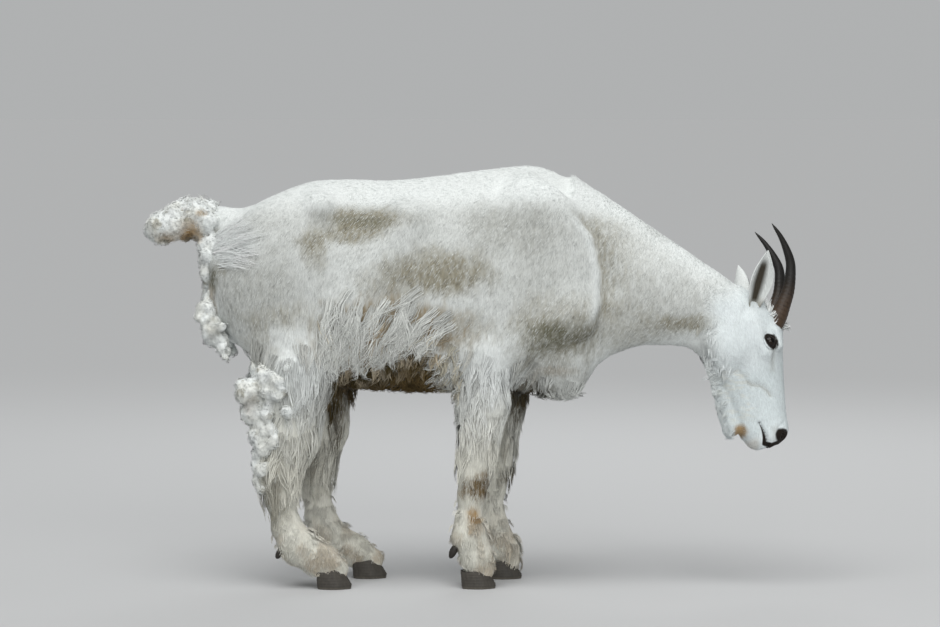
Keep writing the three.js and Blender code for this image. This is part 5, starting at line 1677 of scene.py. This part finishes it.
def eye(side, material):
    """A dark glossy ball with a level pupil in a brown iris."""
    centre = head_point(EYE["s"], EYE["h"], (EYE["w"] - 3) * side)
    look = unit(head_point(-1, 3, 12 * side) - POLL)
    level = unit(HEAD_S - look * (HEAD_S @ look))
    high = np.cross(look, level)
    rows, turns = 40, 56
    polar = np.linspace(0, np.pi, rows)
    # A slightly fuller cornea over the iris
    r = EYE["r"] + 0.5 * np.exp(-((polar / 0.55) ** 2))
    centres = centre + (r * np.cos(polar))[:, None] * look
    wide = np.maximum(r * np.sin(polar), 0.01)[:, None]
    points, faces = lathe(centres, np.tile(level, (rows, 1)), np.tile(high, (rows, 1)), wide, wide, turns)
    faces = faces[:, ::-1]
    v = (points - centre) / EYE["r"]
    x, y, z = v @ level, v @ high, v @ look
    iris = smooth(0.72, 0.62, np.hypot(x, y)) * (z > 0)
    pupil = smooth(1.1, 0.9, np.hypot(x / 0.42, y / 0.2)) * (z > 0)
    colour = mix(vec(0.006, 0.005, 0.005), vec(0.012, 0.007, 0.004), iris[:, None])
    colour = mix(colour, vec(0.002, 0.002, 0.002), pupil[:, None])
    word = SIDE_NAMES[side]
    obj = make_object(f"eyeball_{word}", points, faces, material, colour)
    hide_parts(f"eye_{word}")


# Building the animal

skin_points, skin_faces = make_skin()
skin_normals = point_normals(skin_points, skin_faces)
skin = (skin_points, skin_faces, skin_normals)

# Skin and ears are one piece
parts = [(skin_points, skin_faces, markings(skin_points)), make_ear(RIGHT), make_ear(LEFT)]
starts = np.cumsum([0] + [len(points) for points, _, _ in parts])
parts = [(points, faces + start, colours) for (points, faces, colours), start in zip(parts, starts)]
hide_points, hide_faces, hide_colours = (np.concatenate(column) for column in zip(*parts))
hide = make_object("skin", hide_points, hide_faces, SKIN_LOOK, hide_colours)
FLESH = ["torso", "neck", "head", "tail", "ear_left", "ear_right"]
FLESH += [f"{name}_{part}" for name in LEGS for part in ("upper", "lower")]
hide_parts(*FLESH)


# Short nap on the body, the legs and the head

def body_nap(p):
    bare = (1 - 0.75 * long_share(p)) * (1 - head_share(p))
    return bare * smooth(40, 56, p[:, 2]) * (1 + 1.4 * smooth(330, 240, p[:, 2]))


def off_features(p):
    """0 on the eye, the bare nose and the lips, and 1 away from them."""
    m = on_face(p)
    s, w, h = m.T
    eye_gap = smooth(17, 21, np.linalg.norm((m - EYE_CENTRE) * vec(0.85, 1, 1.1), axis=1))
    nose = smooth(0.95, 1.15, nose_reach(s, w, h))
    lips = smooth(1.5, 4.0, path_distance(s, h, LIP_LINE) - mix(0.0, 3.0, smooth(290, 338, s)))
    return eye_gap * nose * lips


def head_nap(p):
    return head_share(p) * off_features(p)


rng = np.random.default_rng(1)
places, out = coat_places(*skin, 100000, body_nap, rng)
nap("coat_nap_body", places, out, 14.0, 2.0, 1.7, rng)
places, out = coat_places(*skin, 32000, head_nap, rng)
muzzle = smooth(120, 300, in_head(places)[:, 0])
length, width, stand = (mix(upper, lower, muzzle) for upper, lower in ((8.5, 5.0), (1.9, 1.3), (1.6, 0.9)))
nap("coat_nap_head", places, out, length, width, stand, rng, 0.8)

grow("coat_flank_under", skin, flank_low, 90, flank_run, (40, 100), 10, reach=shed_edge, tint=under_lock,
     strands=11, spread=24, width=2.0, rise=2, sag=0.10, wave=6, pinch=0.7, dark_root=0.6, contrast=0.5)
grow("coat_flank", skin, flank_hair, 230, flank_run, (54, 165), 11, more_run=0.36, reach=shed_edge,
     tint=lock_white, strands=16, spread=15, width=1.9, rise=9, sag=0.10, wave=13, steps=5, dark_root=0.84,
     contrast=0.32, turns=1.6)
grow("coat_belly", skin, belly_wool, 560, (-0.25, 0, -1), (26, 46), 12, more_run=0.7, tint=belly_tint,
     strands=9, spread=16, width=2.6, rise=10, wave=5, turns=1.8, dark_root=0.5, contrast=0.45)
grow("coat_thigh", skin, thigh_hair, 410, (-0.1, 0, -1), (60, 108), 13, strands=12, spread=18, width=2.1,
     rise=8, wave=5, pinch=0.88, dark_root=0.7, contrast=0.3)
grow("coat_forearm", skin, forearm_hair, 330, (-0.12, 0, -1), (46, 84), 14, strands=13, spread=16,
     width=1.8, rise=5, wave=2.5, pinch=0.8, dark_root=0.85, loose=True)
grow("coat_elbow", skin, elbow_hair, 70, (-0.8, 0, -0.6), (34, 64), 26, more_run=0.4, tint=lock_white,
     strands=12, spread=14, width=1.7, rise=8, wave=6, pinch=0.85, contrast=0.25, hold=0.5, loose=True)
grow("coat_shank", skin, shank_hair, 230, (-0.1, 0, -1), (16, 28), 15, strands=11, spread=13, width=1.5,
     rise=4, wave=2, pinch=0.6, dark_root=0.9, loose=True)
grow("coat_pastern", skin, pastern_hair, 130, None, (10, 18), 16, strands=11, spread=15, width=1.2, rise=2,
     wave=1, pinch=0.6, dark_root=0.9)
grow("coat_coronet", skin, coronet_hair, 110, (0.25, 0, -1), (10, 20), 24, strands=10, spread=14, width=1.2,
     rise=2, wave=1, pinch=0.6, dark_root=0.9)
grow("coat_brisket", skin, brisket_hair, 150, (-0.3, 0, -1), (32, 56), 17, strands=12, spread=14, width=2.1,
     rise=9, wave=4, contrast=0.3)
grow("coat_brisket_front", skin, brisket_front, 40, (0.6, 0, -0.6), (24, 46), 19, more_run=0.6,
     tint=lock_white, strands=14, spread=14, width=1.5, rise=12, wave=6, pinch=0.9, turns=1.6, contrast=0.3,
     hold=0.5, loose=True)
grow("coat_tail", skin, tail_hair, 46, (-0.3, 0, 0.7), (30, 46), 18, more_run=0.8, tint=lock_white,
     strands=8, spread=15, width=1.2, rise=16, wave=6, turns=1.8, dark_root=0.95, hold=0.4, loose=True)
grow("coat_rump_fan", skin, rump_fan, 64, (1, 0, -0.12), (90, 140), 20, more_run=0.12, tint=bright,
     strands=16, spread=20, width=1.1, rise=3, wave=3, sag=0.008, pinch=0.25, steps=5, dark_root=1.0,
     contrast=0.1, loose=True)
grow("coat_jaw", skin, jaw_hair, 110, jaw_run, (18, 46), 21, strands=10, spread=12, width=1.3, rise=3,
     wave=1.5, shape=whole, dark_root=1.0, contrast=0.08, hold=0.75, loose=True)
grow("coat_throat", skin, throat_hair, 50, (-0.2, 0, -1), (20, 34), 22, strands=8, spread=10, width=1.5,
     rise=2, wave=1, shape=whole, dark_root=1.0, contrast=0.08, loose=True)
head_tufts()
wool(skin)

keratin = horn_material("horn_sheath", 0.46, 260.0, (1, 1, 0.25), 0.35)
hoof_look = horn_material("hoof_wall", 0.55, 180.0, (1, 1, 0.4), 0.5)
gloss = eye_material()
for side in (RIGHT, LEFT):
    horn(side, keratin)
    eye(side, gloss)
for name, spec in LEGS.items():
    for outer in (-1, 1):
        claw(name, spec["foot"], outer, spec["side"], hoof_look)
        dewclaw(name, spec, outer, hoof_look)


# Floor, light and camera

def floor():
    mesh = bpy.data.meshes.new("floor")
    reach = 300.0
    corners = [(-reach, -reach, 0), (reach, -reach, 0), (reach, reach, 0), (-reach, reach, 0)]
    mesh.from_pydata(corners, [], [(0, 1, 2, 3)])
    obj = new_object("floor", mesh)
    obj.data.materials.append(plain_material("floor_paint", (0.50, 0.505, 0.51), 0.9))


def aim(obj, target):
    obj.rotation_euler = (Vector(target) - obj.location).to_track_quat("-Z", "Y").to_euler()


def area_light(name, location, target, size, power, colour=(1, 1, 1)):
    data = bpy.data.lights.new(name, "AREA")
    data.shape = "DISK"
    data.size = size
    data.energy = power
    data.color = colour
    obj = new_object(name, data)
    obj.location = location
    aim(obj, target)


floor()
area_light("near_fill", (1.2, -5.6, 2.9), (0.1, 0, 0.5), 3.6, 118, (1.0, 0.998, 0.99))
area_light("far_rim", (0.6, 3.8, 3.4), (0, 0, 0.6), 2.6, 40, (0.97, 0.99, 1.0))
area_light("catch_light", (1.7, -2.6, 1.7), (0.69, -0.05, 0.56), 0.22, 2.6)
sun_data = bpy.data.lights.new("overcast", "SUN")
sun_data.energy = 2.1
sun_data.angle = math.radians(50)
sun_data.color = (1.0, 1.0, 0.99)
sun = new_object("overcast", sun_data)
sun.location = (-0.7, -2.3, 5)
aim(sun, (0, 0, 0))
bpy.context.scene.view_settings.view_transform = "Standard"


def studio_world():
    """A pale surround that the camera sees a little brighter than it lights."""
    world = bpy.data.worlds.new("studio")
    world.use_nodes = True
    tree = world.node_tree
    background = tree.nodes["Background"]
    background.inputs["Color"].default_value = (0.863, 0.879, 0.884, 1)
    path = tree.nodes.new("ShaderNodeLightPath")
    strength = range_node(tree, path.outputs["Is Camera Ray"], 0.32, 0.502)
    link(tree, strength.outputs["Result"], background.inputs["Strength"])
    bpy.context.scene.world = world


studio_world()

FOCAL_PIXELS = 3478
IMAGE_WIDTH = 940
SENSOR_WIDTH = 36
camera_data = bpy.data.cameras.new("camera")
camera_data.sensor_width = SENSOR_WIDTH
camera_data.lens = SENSOR_WIDTH * FOCAL_PIXELS / IMAGE_WIDTH
camera = new_object("camera", camera_data)
camera.location = (0, -8.0, 1.10)
aim(camera, (0, 0, 0.624))
bpy.context.scene.camera = camera
